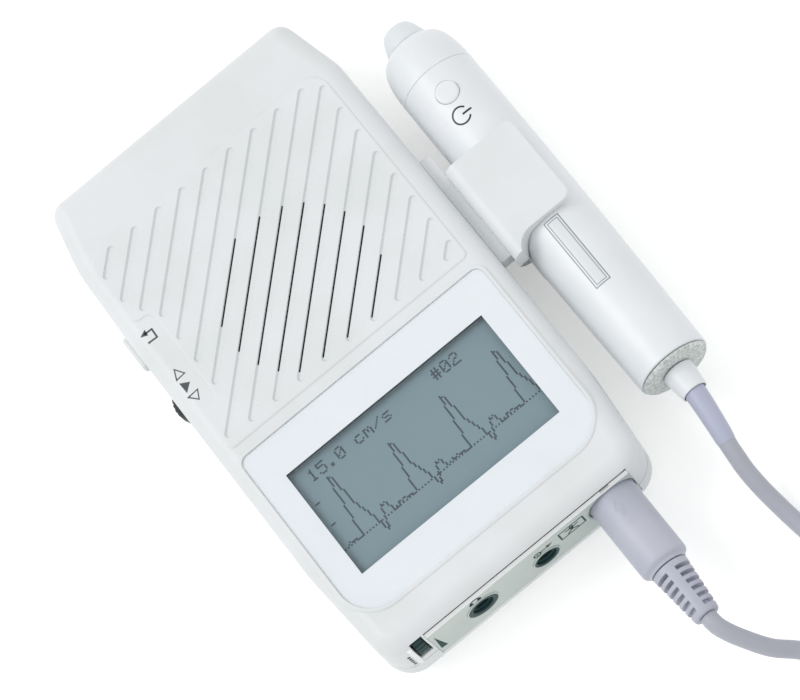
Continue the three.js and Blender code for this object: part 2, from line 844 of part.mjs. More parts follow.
function lcdFrame() {
  const outerWidth = glassWidth + 2 * (gap + frameWall);
  const outerHeight = glassHeight + 2 * (gap + frameWall);
  return cut(
    centred(outerWidth, outerHeight, boardTopZ + gap, frameTop),
    centred(
      glassWidth + 2 * gap, glassHeight + 2 * gap, backlightTop - backlightThick - gap, frameTop + overrun,
    ),
    centred(glassWidth - 2 * frameLip, glassHeight - 2 * frameLip, boardTopZ - overrun, frameTop + overrun),
  );
}

function mainBoard() {
  const notch = block(
    -boardHalfWidth - overrun, jogSwitchFace, jogY - carrierHalf - gap, jogY + carrierHalf + gap,
    boardUnderZ - overrun, boardTopZ + overrun,
  );
  return cut(block(-boardHalfWidth, boardHalfWidth, boardBottom, boardTop, boardUnderZ, boardTopZ), notch);
}

// Speaker
const rimTop = frontInner - gap - clothThick - gap;
const rimLow = rimTop - speakerRimThick;
const basketLow = rimLow - basketDepth + basketWall;

function speakerFrame() {
  return turned('z', [
    [speakerRadius, rimTop], [speakerRadius - speakerRim, rimTop], [speakerRadius - speakerRim, rimLow],
    [coilRadius, basketLow + basketWall], [coilRadius, basketLow], [magnetRadius, basketLow],
    [speakerRadius - speakerRim + basketWall, rimLow - basketWall], [speakerRadius, rimLow],
    [speakerRadius, rimTop],
  ], 0, speakerY, fine);
}

function speakerCone() {
  const edge = speakerRadius - speakerRim - gap;
  const low = rimTop - coneRise - coneWall;
  return turned('z', [
    [0, low + coneWall + capRise], [coilRadius / 2, low + coneWall + capRise / 2],
    [coilRadius - gap, low + coneWall],
    [edge, rimTop - snug], [edge, rimTop - snug - coneWall], [coilRadius - gap, low],
    [0, low],
  ].reverse(), 0, speakerY, fine);
}

// Cells and contacts
function cell(x, nubForward) {
  const low = nubForward ? cellStart : cellStart + nubLength;
  const can = bar('y', cellRadius, x, cellZ, low, low + cellLength, round);
  const nub = nubForward
    ? bar('y', nubRadius, x, cellZ, low + cellLength - overrun, cellEnd, small)
    : bar('y', nubRadius, x, cellZ, cellStart, low + overrun, small);
  return can.add(nub);
}

function contact(places, y, towards) {
  const faceZ = cellZ - contactHeight / 2;
  const low = Math.min(...places) - contactWidth / 2;
  const high = Math.max(...places) + contactWidth / 2;
  const back = towards > 0 ? y : y - contactThick;
  const plate = block(low, high, back, back + contactThick, faceZ, faceZ + contactHeight + contactDrop);
  const from = towards > 0 ? y + contactThick - snug : y - contactThick - contactBoss;
  const bosses = places.map(
    (x) => bar('y', contactBossRadius, x, cellZ, from, from + contactBoss + snug, small),
  );
  return join(plate, ...bosses);
}

// Keys: the return push button and the jog lever on its sliding carrier
const innerSideX = -halfWidth + wall;

function returnButton() {
  const cap = slab(roundedOutline(roundedBox(
    -halfWidth - returnProud, innerSideX + gap + snug,
    returnY - returnLength / 2, returnY + returnLength / 2, returnProud, 3,
  )), keyZ - returnHeight / 2, keyZ + returnHeight / 2);
  const flange = block(
    innerSideX + gap, innerSideX + gap + returnFlangeThick,
    returnY - returnLength / 2 - returnFlange, returnY + returnLength / 2 + returnFlange,
    keyZ - returnHeight / 2 - returnFlange, keyZ + returnHeight / 2 + returnFlange / 2,
  );
  return cap.add(flange);
}

const returnSwitchFace = innerSideX + gap + returnFlangeThick + returnTravel + gap;

function tactSwitch(faceX, y, lowZ) {
  const body = block(
    faceX, faceX + switchDepth, y - switchWidth / 2, y + switchWidth / 2, lowZ, lowZ + switchHeight,
  );
  return body;
}

const jogX = -halfWidth - jogProud + jogRadius;
const jogZ0 = keyZ - jogThick / 2;
const jogZ1 = keyZ + jogThick / 2;

function jogLever() {
  const disc = bar('z', jogRadius, jogX, jogY, jogZ0, jogZ1, fine);
  const front = block(
    jogX - jogRadius - overrun, jogX, jogY - jogRadius - overrun, jogY + jogRadius + overrun,
    jogZ0 - overrun, jogZ1 + overrun,
  );
  const hub = bar('z', jogAxle + gap + hubWall, jogX, jogY, jogZ0, jogZ1, round);
  const bore = bar('z', jogAxle + gap, jogX, jogY, jogZ0 - overrun, jogZ1 + overrun, small);
  const teeth = [];
  for (let k = 0; k < jogTeeth; k += 1) {
    const angle = Math.PI + THREE.MathUtils.degToRad(jogToothPitchDeg) * (k - (jogTeeth - 1) / 2);
    teeth.push(bar(
      'z', jogToothRadius, jogX + jogRadius * Math.cos(angle), jogY + jogRadius * Math.sin(angle),
      jogZ0 - overrun, jogZ1 + overrun, 6,
    ));
  }
  return cut(disc.intersect(front).add(hub), bore, ...teeth);
}

function jogCarrier() {
  const low = jogZ0 - gap - jogForkThick;
  const far = jogX + jogAxle + gap + hubWall + gap;
  const plate = block(
    jogX - jogAxle, far + carrierReach, jogY - carrierHalf, jogY + carrierHalf, low, jogZ0 - gap,
  );
  const back = block(far, far + carrierReach, jogY - carrierHalf, jogY + carrierHalf, low, jogZ1);
  const axle = bar('z', jogAxle, jogX, jogY, low, jogZ1, small);
  return join(plate, back, axle);
}

const jogBackX = jogX + jogAxle + gap + hubWall + gap + carrierReach;
const jogSwitchFace = jogBackX + jogTravel + gap;

// Volume wheel and its potentiometer
function volumeWheel() {
  const rim = bar(
    'x', wheelRadius, wheelY, wheelZ, wheelX - wheelThick / 2, wheelX + wheelThick / 2, wheelTeeth * 2,
  );
  const teeth = [];
  for (let k = 0; k < wheelTeeth; k += 1) {
    const angle = (2 * Math.PI * k) / wheelTeeth;
    teeth.push(bar(
      'x', wheelToothDepth, wheelY + wheelRadius * Math.cos(angle), wheelZ + wheelRadius * Math.sin(angle),
      wheelX - wheelThick, wheelX + wheelThick, 4,
    ));
  }
  const bore = bar('x', wheelShaft + gap, wheelY, wheelZ, wheelX - wheelThick, wheelX + wheelThick, small);
  return cut(rim, bore, ...teeth);
}

function volumePot() {
  const face = wheelX + wheelThick / 2 + gap;
  const near = panelBack + panelFlangeThick + gap;
  const far = wheelY + potHalf;
  const body = block(face, face + potThick, near, far, wheelZ - potHalf, wheelZ + potHalf);
  const foot = block(
    face, face + potThick, far - snug, far + potFoot, boardUnderZ - gap - potFootThick, boardUnderZ - gap,
  );
  const shaft = bar('x', wheelShaft, wheelY, wheelZ, wheelX - wheelThick / 2, face + snug, small);
  return join(body, foot, shaft);
}

// Connector end
const panelFace = -halfLength + panelRecess;
const panelBack = -halfLength + wall + gap;

function connectorPanel() {
  const midZ = (panelLowZ + panelHighZ) / 2;
  const outline = roundedOutline(roundedBox(
    panelLeft + gap, panelRight - gap, panelLowZ + gap - midZ, panelHighZ - gap - midZ, panelCorner, 3,
  ));
  const shape = new THREE.Shape(outline);
  const face = new THREE.ExtrudeGeometry(
    shape, { depth: panelBack - panelFace + snug, bevelEnabled: false },
  );
  face.rotateX(Math.PI / 2).translate(0, panelBack + snug, midZ);
  const flange = block(
    panelLeft - panelFlange, panelRight + panelFlange, panelBack, panelBack + panelFlangeThick,
    panelLowZ - panelFlange, panelFlangeHighZ,
  );
  const through = (radius, x, z) => bar(
    'y', radius, x, z, -halfLength - overrun, panelBack + cutDeep, round,
  );
  return cut(
    join(solid(face), flange),
    through(earphoneNose + gap, earphoneX, earphoneZ),
    through(outputNose + gap, outputX, outputZ),
    through(socketNose + gap, plugX, plugZ),
    bar('y', entryRadius, plugX, plugZ, -halfLength - overrun, panelFace + entryDepth, round),
    block(
      plugX - snapSlitLength / 2, plugX + snapSlitLength / 2, -halfLength - overrun, panelFace + overrun,
      snapSlitZ - snapSlitWidth / 2, snapSlitZ + snapSlitWidth / 2,
    ),
  );
}

function jack(x, z, nose) {
  const front = panelFace - jackNoseProud;
  const back = panelBack + panelFlangeThick + gap;
  const body = join(
    bar('y', nose, x, z, front, back + snug, round),
    block(
      x - jackHalfWidth, x + jackHalfWidth, back, back + jackLength, z - jackHalfHeight, z + jackHalfHeight,
    ),
    block(
      x - jackFootHalf, x + jackFootHalf, back + jackLength - snug, back + jackLength + jackFoot,
      boardUnderZ - gap - jackFootThick, boardUnderZ - gap,
    ),
  );
  return cut(
    body,
    bar('y', jackBore, x, z, front - overrun, front + jackBoreDepth, small),
    bar('y', jackMouth, x, z, front - overrun, front + jackMouthDepth, small),
  );
}

const pinPlaces = [...Array(pinCount).keys()].map((k) => {
  const angle = Math.PI / 4 + (2 * Math.PI * k) / pinCount;
  return [plugX + pinCircle * Math.cos(angle), plugZ + pinCircle * Math.sin(angle)];
});

function probeSocket() {
  const front = panelFace + entryDepth;
  const back = panelBack + panelFlangeThick + gap;
  const body = join(
    bar('y', socketNose, plugX, plugZ, front, back + snug, round),
    block(
      plugX - socketHalf, plugX + socketHalf, back, back + socketLength, plugZ - socketHalf,
      plugZ + socketHalf,
    ),
    block(
      plugX - jackFootHalf, plugX + jackFootHalf, back + socketLength - snug, back + socketLength + jackFoot,
      boardUnderZ - gap - jackFootThick, boardUnderZ - gap,
    ),
  );
  const ring = cut(
    bar('y', socketBore, plugX, plugZ, front - overrun, front + socketDepth, round),
    bar('y', socketPost, plugX, plugZ, front, front + socketDepth + overrun, round),
  );
  const holes = pinPlaces.map(
    ([x, z]) => bar('y', pinRadius + gap, x, z, front - overrun, front + socketDepth, 8),
  );
  return cut(body, ring, ...holes);
}

const plugFront = panelFace + entryDepth - gap;
const plugBack = plugFront - plugLength;
const reliefStart = plugBack - plugChamfer;
const reliefEnd = reliefStart - reliefLength;

function plugBody() {
  const body = turned('y', [
    [0, reliefStart + gap], [reliefBase, reliefStart + gap], [plugRadius, plugBack],
    [plugRadius, plugFront - plugFlatDepth], [plugRadius - plugFlatDepth, plugFront], [0, plugFront],
  ], plugX, plugZ, fine);
  return cut(
    body, bar('y', shellRadius + gap, plugX, plugZ, plugFront - shellRoot - gap, plugFront + overrun, round),
  );
}

function plugShell() {
  return cut(
    bar('y', shellRadius, plugX, plugZ, plugFront - shellRoot, plugFront + shellReach, round),
    bar(
      'y', shellRadius - shellWall, plugX, plugZ, plugFront - shellRoot - overrun,
      plugFront + shellReach + overrun, round,
    ),
  );
}

function plugInsert() {
  const root = plugFront - shellRoot;
  const base = bar('y', shellRadius - shellWall - gap, plugX, plugZ, root, root + insertThick, round);
  const pins = pinPlaces.map(
    ([x, z]) => bar('y', pinRadius, x, z, root + insertThick - snug, plugFront + pinReach, 8),
  );
  return join(base, ...pins);
}

// Strain relief: a tapered boot, cut into flexible rings joined by a rib above and a rib below
function plugRelief() {
  const boot = turned('y', [
    [0, reliefEnd], [reliefTip - plugFlatDepth, reliefEnd], [reliefTip, reliefEnd + plugFlatDepth],
    [reliefBase, reliefStart - reliefCollar], [reliefBase, reliefStart], [0, reliefStart],
  ], plugX, plugZ, round);
  const pitch = (reliefLength - 2 * reliefCollar) / reliefRows;
  const core = turned('y', [
    [0, reliefEnd], [reliefCore, reliefEnd], [reliefCore, reliefStart], [0, reliefStart],
  ], plugX, plugZ, small);
  const slots = [];
  for (let row = 0; row < reliefRows; row += 1) {
    const y = reliefStart - reliefCollar - pitch * (row + 1) + (pitch - reliefSlot) / 2;
    const ring = block(
      plugX - cutDeep, plugX + cutDeep, y, y + reliefSlot, plugZ - cutDeep, plugZ + cutDeep,
    );
    const bridge = block(
      plugX - reliefBridge, plugX + reliefBridge, y - overrun, y + reliefSlot + overrun,
      plugZ - cutDeep, plugZ + cutDeep,
    );
    slots.push(ring.subtract(bridge).subtract(core));
  }
  return cut(boot, ...slots);
}

// Holder: a base plate pegged to the housing, and the clip that slides onto its rail
const baseX0 = halfWidth + gap;
const baseX1 = baseX0 + baseThick - gap;
const clipX0 = baseX1 + gap;
const mouthHalf = probeRadius + gap;
const armHalf = mouthHalf + armThick;

function holderBase() {
  const plate = block(baseX0, baseX1, baseBottom, baseTop, probeZ - baseHalfHeight, probeZ + baseHalfHeight);
  const rail = block(
    baseX1 - snug, baseX1 + keyRise, baseBottom, holderTop - gap, probeZ - keyHalf, probeZ + keyHalf,
  );
  const middle = (baseTop + baseBottom) / 2;
  const pegs = [-pegOffset, pegOffset].map(
    (dy) => bar('x', pegRadius, middle + dy, probeZ, halfWidth - pegReach, baseX0 + snug, small),
  );
  return join(plate, rail, ...pegs);
}

function probeHolder() {
  const section = new THREE.Shape();
  section.moveTo(clipX0, -armHalf + armRound);
  section.absarc(clipX0 + armRound, -armHalf + armRound, armRound, Math.PI, 1.5 * Math.PI);
  section.lineTo(holderOuterX, -armHalf);
  section.lineTo(holderOuterX, -mouthHalf);
  section.absarc(probeX, 0, mouthHalf, 1.5 * Math.PI, Math.PI / 2, true);
  section.lineTo(holderOuterX, mouthHalf);
  section.lineTo(holderOuterX, armHalf);
  section.absarc(clipX0 + armRound, armHalf - armRound, armRound, Math.PI / 2, Math.PI);
  const along = new THREE.ExtrudeGeometry(
    section, { depth: holderTop - holderBottom, bevelEnabled: false, curveSegments: 10 },
  );
  along.rotateX(Math.PI / 2).translate(0, holderTop, probeZ);
  const plan = new THREE.Shape();
  const shoulderX = clipX0 + holderBack;
  plan.moveTo(clipX0 - overrun, holderBottom);
  plan.lineTo(shoulderX, holderBottom);
  plan.absarc(shoulderX + holderFillet, holderStep - holderFillet, holderFillet, Math.PI, Math.PI / 2, true);
  plan.lineTo(holderOuterX - holderCorner, holderStep);
  plan.absarc(holderOuterX - holderCorner, holderStep + holderCorner, holderCorner, -Math.PI / 2, 0);
  plan.lineTo(holderOuterX, holderTop);
  plan.lineTo(clipX0 - overrun, holderTop);
  const seen = slab(plan.getPoints(5), probeZ - armHalf - overrun, probeZ + armHalf + overrun);
  const channel = block(
    clipX0 - overrun, baseX1 + keyRise + gap, holderBottom - overrun, holderTop,
    probeZ - keyHalf - gap, probeZ + keyHalf + gap,
  );
  return cut(solid(along).intersect(seen), channel);
}

// Probe, its axis along Y
function probeBody() {
  const outer = turned('y', [
    [0, probeEndY], [probeEndRadius, probeEndY], [probeRadius, probeTaperY], [probeRadius, probeSeamY - gap],
    [0, probeSeamY - gap],
  ], probeX, probeZ, fine);
  const inner = bar(
    'y', probeEndRadius - probeWall, probeX, probeZ, probeEndY - overrun, probeSeamY + overrun, round,
  );
  const keyHole = bar(
    'z', probeButtonRadius + gap, probeX, probeButtonY, probeZ, probeZ + probeRadius + overrun, round,
  );
  return cut(outer, inner, keyHole);
}

function probeHead() {
  const rise = probeRadius - probeShoulderRadius;
  const length = probeNeckY - probeShoulder - probeSeamY;
  const ogive = ogiveShares.map((share) => [
    probeShoulderRadius + rise * Math.sqrt(1 - share ** ogivePower), probeSeamY + length * share,
  ]);
  const outer = turned('y', [
    [0, probeSeamY - spigotLength], [probeEndRadius - probeWall - gap, probeSeamY - spigotLength],
    [probeEndRadius - probeWall - gap, probeSeamY], [probeRadius, probeSeamY], ...ogive,
    [probeShoulderRadius, probeNeckY - probeShoulder], [probeNeckRadius + gap, probeNeckY], [0, probeNeckY],
  ], probeX, probeZ, fine);
  const bore = bar(
    'y', probeNeckRadius - spigotWall, probeX, probeZ, probeSeamY - spigotLength - overrun,
    probeNeckY + overrun, round,
  );
  return cut(outer, bore);
}

function probeTip() {
  const seat = probeNeckRadius - spigotWall - gap;
  const front = probeTipY - probeTipDome;
  const outer = turned('y', [
    [0, probeNeckY - tipSeat], [seat, probeNeckY - tipSeat], [seat, probeNeckY + gap],
    [probeNeckRadius, probeNeckY + gap], [probeTipRadius, front - probeTipDome],
    [probeTipRadius - probeTipDome / 2, front], [probeTipRadius / 2, probeTipY - probeTipDome / 3],
    [0, probeTipY],
  ], probeX, probeZ, round);
  const cavity = bar(
    'y', seat - spigotWall, probeX, probeZ, probeNeckY - tipSeat - overrun, probeNeckY + overrun, round,
  );
  return cut(outer, cavity);
}

// Two half discs side by side behind the tip: one sends, one listens
function crystal(side) {
  const radius = probeNeckRadius - spigotWall - gap - spigotWall - gap;
  const face = probeNeckY + overrun - gap;
  const disc = bar('y', radius, probeX, probeZ, face - crystalThick, face, small);
  const near = probeX + side * crystalSplit;
  const far = probeX + side * (radius + overrun);
  return disc.intersect(block(
    Math.min(near, far), Math.max(near, far), face - cutDeep, face + cutDeep,
    probeZ - radius, probeZ + radius,
  ));
}

function probeBacking() {
  const radius = probeNeckRadius - spigotWall - gap - spigotWall - gap;
  const face = probeNeckY + overrun - gap - crystalThick - gap;
  return turned('y', [
    [0, probeSeamY], [radius, probeSeamY], [radius, face], [0, face],
  ], probeX, probeZ, small);
}

const probeBoardZ = probeZ - probeBoardThick / 2;

function probeBoard() {
  return block(
    probeX - probeBoardWidth / 2, probeX + probeBoardWidth / 2, probeBoardStart, probeBoardEnd,
    probeBoardZ, probeBoardZ + probeBoardThick,
  );
}

const probeBoreRadius = probeEndRadius - probeWall;
const buttonFlangeTop = probeZ + Math.sqrt(
  probeBoreRadius ** 2 - (probeButtonRadius + probeButtonFlange) ** 2,
) - gap;
const buttonFlangeLow = buttonFlangeTop - probeButtonThick;

function probeButton() {
  const crown = probeZ + probeRadius + probeButtonProud;
  return turned('z', [
    [0, buttonFlangeLow], [probeButtonRadius + probeButtonFlange, buttonFlangeLow],
    [probeButtonRadius + probeButtonFlange, buttonFlangeTop], [probeButtonRadius, buttonFlangeTop],
    [probeButtonRadius, crown - probeButtonProud],
    [probeButtonRadius * buttonCrownShare, crown - probeButtonProud / 4], [0, crown],
  ].reverse(), probeX, probeButtonY, round);
}

function probeSwitch() {
  const low = probeBoardZ + probeBoardThick + gap;
  const top = buttonFlangeLow - probeButtonTravel - gap;
  const body = block(
    probeX - probeSwitchHalf, probeX + probeSwitchHalf,
    probeButtonY - probeSwitchHalf, probeButtonY + probeSwitchHalf, low, low + probeSwitchThick,
  );
  return body.add(bar('z', plungerRadius, probeX, probeButtonY, low + probeSwitchThick - snug, top, small));
}

function probeEndCap() {
  const plug = probeBoreRadius - gap;
  const outer = turned('y', [
    [0, probeEndY - endCapLip], [probeEndRadius - endCapLip, probeEndY - endCapLip],
    [probeEndRadius - gap, probeEndY - gap],
    [plug, probeEndY - gap], [plug, probeEndY + endCapThick], [0, probeEndY + endCapThick],
  ], probeX, probeZ, fine);
  return cut(
    outer, bar('y', sleeveBase + gap, probeX, probeZ, probeEndY - cutDeep, probeEndY + cutDeep, round),
  );
}

const collarStart = probeEndY - endCapLip - gap;
const collarEnd = collarStart - collarLength;

function cableCollar() {
  const outer = turned('y', [
    [0, collarEnd], [collarTip, collarEnd], [collarBase, collarStart], [0, collarStart],
  ], probeX, probeZ, round);
  return cut(
    outer,
    bar('y', sleeveBase + gap - snug, probeX, probeZ, collarEnd - overrun, collarStart + overrun, round),
  );
}

// A tube along a smooth route, its section held square to the route
function tube(points, radius, steps, sides) {
  const route = new THREE.CatmullRomCurve3(points, false, 'centripetal');
  const section = new THREE.Shape();
  for (let k = 0; k < sides; k += 1) {
    const angle = (2 * Math.PI * (k + 0.5)) / sides;
    const place = [radius * Math.cos(angle), radius * Math.sin(angle)];
    if (k === 0) section.moveTo(...place);
    else section.lineTo(...place);
  }
  return solid(new THREE.ExtrudeGeometry(section, { steps, extrudePath: route, bevelEnabled: false }));
}

// A route point, measured from the unit's corner next to the probe at the connector end
const fromCorner = ([x, y, z]) => new THREE.Vector3(halfWidth + x, y - halfLength, z);

// Sleeve on the cable: it tapers and starts to sag towards the table
const sleeveRoute = [
  [14.5, 18.2, 14], [14.5, 15, 14], [14.5, 11, 14], [14.4, 7, 13.95], [14, 3, 13.6], [13.5, -1, 12.9],
  [12.95, -4.6, 11.9],
].map(fromCorner);

function cableSleeve() {
  const route = new THREE.CatmullRomCurve3(sleeveRoute, false, 'centripetal');
  const steps = 14;
  const positions = [];
  const index = [];
  const frames = route.computeFrenetFrames(steps, false);
  for (let i = 0; i <= steps; i += 1) {
    const centre = route.getPointAt(i / steps);
    const radius = sleeveBase + (sleeveTip - sleeveBase) * (i / steps);
    for (let k = 0; k < small; k += 1) {
      const angle = (2 * Math.PI * k) / small;
      const p = centre.clone()
        .addScaledVector(frames.normals[i], radius * Math.cos(angle))
        .addScaledVector(frames.binormals[i], radius * Math.sin(angle));
      positions.push(p.x, p.y, p.z);
    }
  }
  for (let i = 0; i < steps; i += 1) {
    for (let k = 0; k < small; k += 1) {
      const a = i * small + k;
      const b = i * small + ((k + 1) % small);
      index.push(a, b, b + small, a, b + small, a + small);
    }
  }
  for (let k = 1; k + 1 < small; k += 1) {
    index.push(0, k + 1, k);
    index.push(steps * small, steps * small + k, steps * small + k + 1);
  }
  const geometry = new THREE.BufferGeometry();
  geometry.setAttribute('position', new THREE.Float32BufferAttribute(positions, 3));
  geometry.setIndex(index);
  return solid(geometry);
}

// Coil: half the turns spiral in on the table, the rest spiral out on top of them
const coilSpan = (coilTurns / coilLayers) * coilPitch;
const coilOuter = coilMeanRadius + coilSpan / 2;

function coilPoint(turn) {
  const middle = coilTurns / coilLayers;
  const inwards = middle - Math.abs(turn - middle);
  const radius = coilOuter - coilPitch * inwards;
  const climb = THREE.MathUtils.smoothstep(turn, middle - coilClimbTurns, middle + coilClimbTurns);
  const angle = THREE.MathUtils.degToRad(coilStartDeg) - 2 * Math.PI * turn;
  return new THREE.Vector3(
    coilX + radius * Math.cos(angle), coilY + radius * Math.sin(angle), floorZ + coilPitch * climb,
  );
}

function coilCentreline() {
  const count = Math.round(coilTurns * coilStepsPerTurn);
  const turns = [...Array(count + 1).keys()].map((k) => (coilTurns * k) / count);
  const points = turns.map(coilPoint);
  const lead = points[0].clone().sub(points[1]).setZ(0).normalize();
  const tail = points[count].clone().sub(points[count - 1]).setZ(0).normalize();
  points.unshift(points[0].clone().addScaledVector(lead, cordDiameter));
  points.push(points[count + 1].clone().addScaledVector(tail, cordDiameter));
  return points;
}

// Unbroken tube on the coil's centreline, upright frames at each step
function woundTube(points) {
  const positions = [];
  const index = [];
  const up = new THREE.Vector3(0, 0, 1);
  const last = points.length - 1;
  points.forEach((point, i) => {
    const ahead = points[Math.min(i + 1, last)];
    const behind = points[Math.max(i - 1, 0)];
    const along = ahead.clone().sub(behind).normalize();
    const side = along.clone().cross(up).normalize();
    const rise = side.clone().cross(along);
    for (let k = 0; k < coilSides; k += 1) {
      const angle = (2 * Math.PI * (k + 0.5)) / coilSides;
      const p = point.clone()
        .addScaledVector(side, cordRadius * Math.cos(angle))
        .addScaledVector(rise, cordRadius * Math.sin(angle));
      positions.push(p.x, p.y, p.z);
    }
  });
  for (let i = 0; i < last; i += 1) {
    for (let k = 0; k < coilSides; k += 1) {
      const a = i * coilSides + k;
      const b = i * coilSides + ((k + 1) % coilSides);
      index.push(a, b + coilSides, b, a, a + coilSides, b + coilSides);
    }
  }
  for (let k = 1; k + 1 < coilSides; k += 1) {
    index.push(0, k, k + 1);
    index.push(last * coilSides, last * coilSides + k + 1, last * coilSides + k);
  }
  const geometry = new THREE.BufferGeometry();
  geometry.setAttribute('position', new THREE.Float32BufferAttribute(positions, 3));
  geometry.setIndex(index);
  return solid(geometry);
}

// Least gap between two turns, from points on the centreline
function leastGap(points) {
  const apart = coilStepsPerTurn / 2;
  let least = Infinity;
  points.forEach((a, i) => {
    for (let j = i + apart; j < points.length; j += 1) least = Math.min(least, a.distanceTo(points[j]));
  });
  return least - cordDiameter;
}

const coilLine = coilCentreline();
console.log('coil: least gap to itself', leastGap(coilLine).toFixed(3), 'mm');

const coilIn = coilLine[0];
const coilOut = coilLine.at(-1);
const leadIn = coilIn.clone().sub(coilLine[1]).normalize();
const leadOut = coilOut.clone().sub(coilLine.at(-2)).normalize();

// Free stretch from the sleeve to the coil
const probeCordRoute = [
  [12.85, -5.2, 11.7], [12.6, -7.5, 10.7], [12.3, -11, 8.8], [12.4, -15.2, 6.5], [12.9, -20, 4.2],
  [13.6, -25.2, 2.6], [14.5, -30.3, 2.06], [16.7, -36.2, 2.05], [20.9, -41.2, 2.05], [27.7, -45.4, 2.05],
  [36.7, -49.2, 2.05],
].map(fromCorner);
probeCordRoute.push(coilIn.clone().addScaledVector(leadIn, gap + cordDiameter));
probeCordRoute.push(coilIn.clone().addScaledVector(leadIn, gap));

// Free stretch from the plug's boot to the coil
const plugCordRoute = [
  [-13.4, -33.85, 17], [-13.3, -35.9, 16.82], [-12.3, -38.4, 15.3], [-10.2, -41.7, 12.6], [-7.4, -45.2, 9.3],
  [-3.1, -48.5, 5.5], [0.5, -52.8, 2.85], [1.9, -58.5, 2.06], [0.4, -66, 2.05], [-2.1, -74, 2.05],
  [-3.9, -82, 2.05], [-3.9, -90, 2.3], [-2.3, -97, 3.5], [0.5, -102.2, 5.2],
].map(fromCorner);
plugCordRoute.push(coilOut.clone().addScaledVector(leadOut, gap + cordDiameter));
plugCordRoute.push(coilOut.clone().addScaledVector(leadOut, gap));

const measure = (points) => new THREE.CatmullRomCurve3(points, false, 'centripetal').getLength();
console.log(
  'cord: length', (measure(probeCordRoute) + measure(plugCordRoute)
    + coilLine.slice(1).reduce((sum, p, i) => sum + p.distanceTo(coilLine[i]), 0)).toFixed(0), 'mm',
);

// Materials
const material = (color, roughness, metalness = 0) => new THREE.MeshStandardMaterial(
  { color, roughness, metalness },
);
const whiteAbs = () => material(0xe9eaee, 0.45);
const greyAbs = () => material(0xd3d7d6, 0.5);
const clearAcrylic = () => material(0xf4f5fa, 0.12);
const lcdGlass = () => material(0x8aa0a5, 0.2);
const blackNylon = () => material(0x16201f, 0.55);
const tealNylon = () => material(0x1d2c2b, 0.5);
const boardGreen = () => material(0x1f5a3a, 0.6);
const steel = () => material(0xb8bcc0, 0.3, 0.9);
const lilacPvc = () => material(0xc3c4d8, 0.55);
const greyPvc = () => material(0xb1b4bf, 0.5);
const paper = () => material(0x2a2c2e, 0.9);
const ferrite = () => material(0x4a4d50, 0.6, 0.3);
const cellWrap = () => material(0x5b6f8a, 0.35, 0.4);
const ceramic = () => material(0xd8cfae, 0.5);
const resin = () => material(0x3c3f44, 0.7);

const doppler = new THREE.Group();
const leftReach = halfWidth + Math.max(returnProud, jogProud);
const rightReach = probeX + probeRadius;
doppler.position.set((leftReach - rightReach) / 2, wheelProud / 2, 0);

function add(name, body, finish) {
  const mesh = new THREE.Mesh(geometryOf(body), finish);
  mesh.name = name;
  doppler.add(mesh);
}

add('front_shell', frontShell(), whiteAbs());
add('rear_shell', rearShell(), whiteAbs());
add('battery_cover', batteryCover(), whiteAbs());
posts.forEach((place, i) => add(`case_screw_${i + 1}`, caseScrew(place), steel()));
add('display_window', displayWindow(), clearAcrylic());
add('lcd_glass', centred(glassWidth, glassHeight, glassBottom, glassTop), lcdGlass());
add('lcd_frame', lcdFrame(), blackNylon());
add(
  'lcd_backlight', centred(glassWidth, glassHeight, backlightTop - backlightThick, backlightTop),
  clearAcrylic(),
);
add('main_board', mainBoard(), boardGreen());
add(
  'speaker_cloth',
  bar('z', speakerRadius, 0, speakerY, frontInner - gap - clothThick, frontInner - gap, fine), paper(),
);
add('speaker_frame', speakerFrame(), steel());
add('speaker_cone', speakerCone(), paper());
add(
  'speaker_magnet',
  bar('z', magnetRadius, 0, speakerY, basketLow - gap - magnetThick, basketLow - gap, fine), ferrite(),
);
add('battery_1', cell(-cellSpacing / 2, true), cellWrap());
add('battery_2', cell(cellSpacing / 2, false), cellWrap());
add('battery_contact_negative', contact([-cellSpacing / 2], bayInner + gap, 1), steel());
add('battery_contact_positive', contact([cellSpacing / 2], bayInner + gap, 1), steel());
add(
  'battery_contact_bridge', contact([-cellSpacing / 2, cellSpacing / 2], farContact + contactThick, -1),
  steel(),
);
add('return_button', returnButton(), whiteAbs());
add('return_switch', tactSwitch(returnSwitchFace, returnY, boardTopZ + gap), blackNylon());
add('jog_lever', jogLever(), blackNylon());
add('jog_carrier', jogCarrier(), blackNylon());
add('jog_switch', tactSwitch(jogSwitchFace, jogY, boardTopZ + gap), blackNylon());
add('volume_wheel', volumeWheel(), tealNylon());
add('volume_pot', volumePot(), blackNylon());
add('connector_panel', connectorPanel(), greyAbs());
add('earphone_jack', jack(earphoneX, earphoneZ, earphoneNose), tealNylon());
add('output_jack', jack(outputX, outputZ, outputNose), tealNylon());
add('probe_socket', probeSocket(), blackNylon());
add('holder_base', holderBase(), whiteAbs());
add('probe_holder', probeHolder(), whiteAbs());
add('probe_body', probeBody(), whiteAbs());
add('probe_head', probeHead(), whiteAbs());
add('probe_tip', probeTip(), whiteAbs());
add('crystal_send', crystal(-1), ceramic());
add('crystal_receive', crystal(1), ceramic());
add('probe_backing', probeBacking(), resin());
add('probe_board', probeBoard(), boardGreen());
add('probe_button', probeButton(), whiteAbs());
add('probe_switch', probeSwitch(), blackNylon());
add('probe_end_cap', probeEndCap(), greyAbs());
add('cable_collar', cableCollar(), whiteAbs());
add('cable_sleeve', cableSleeve(), lilacPvc());
add('probe_cord', tube(probeCordRoute, cordRadius, 14, cordSides), greyPvc());
add('cord_coil', woundTube(coilLine), greyPvc());
add('plug_cord', tube(plugCordRoute, cordRadius, 18, cordSides), greyPvc());
add('plug_relief', plugRelief(), greyPvc());
add('plug_body', plugBody(), lilacPvc());
add('plug_shell', plugShell(), steel());
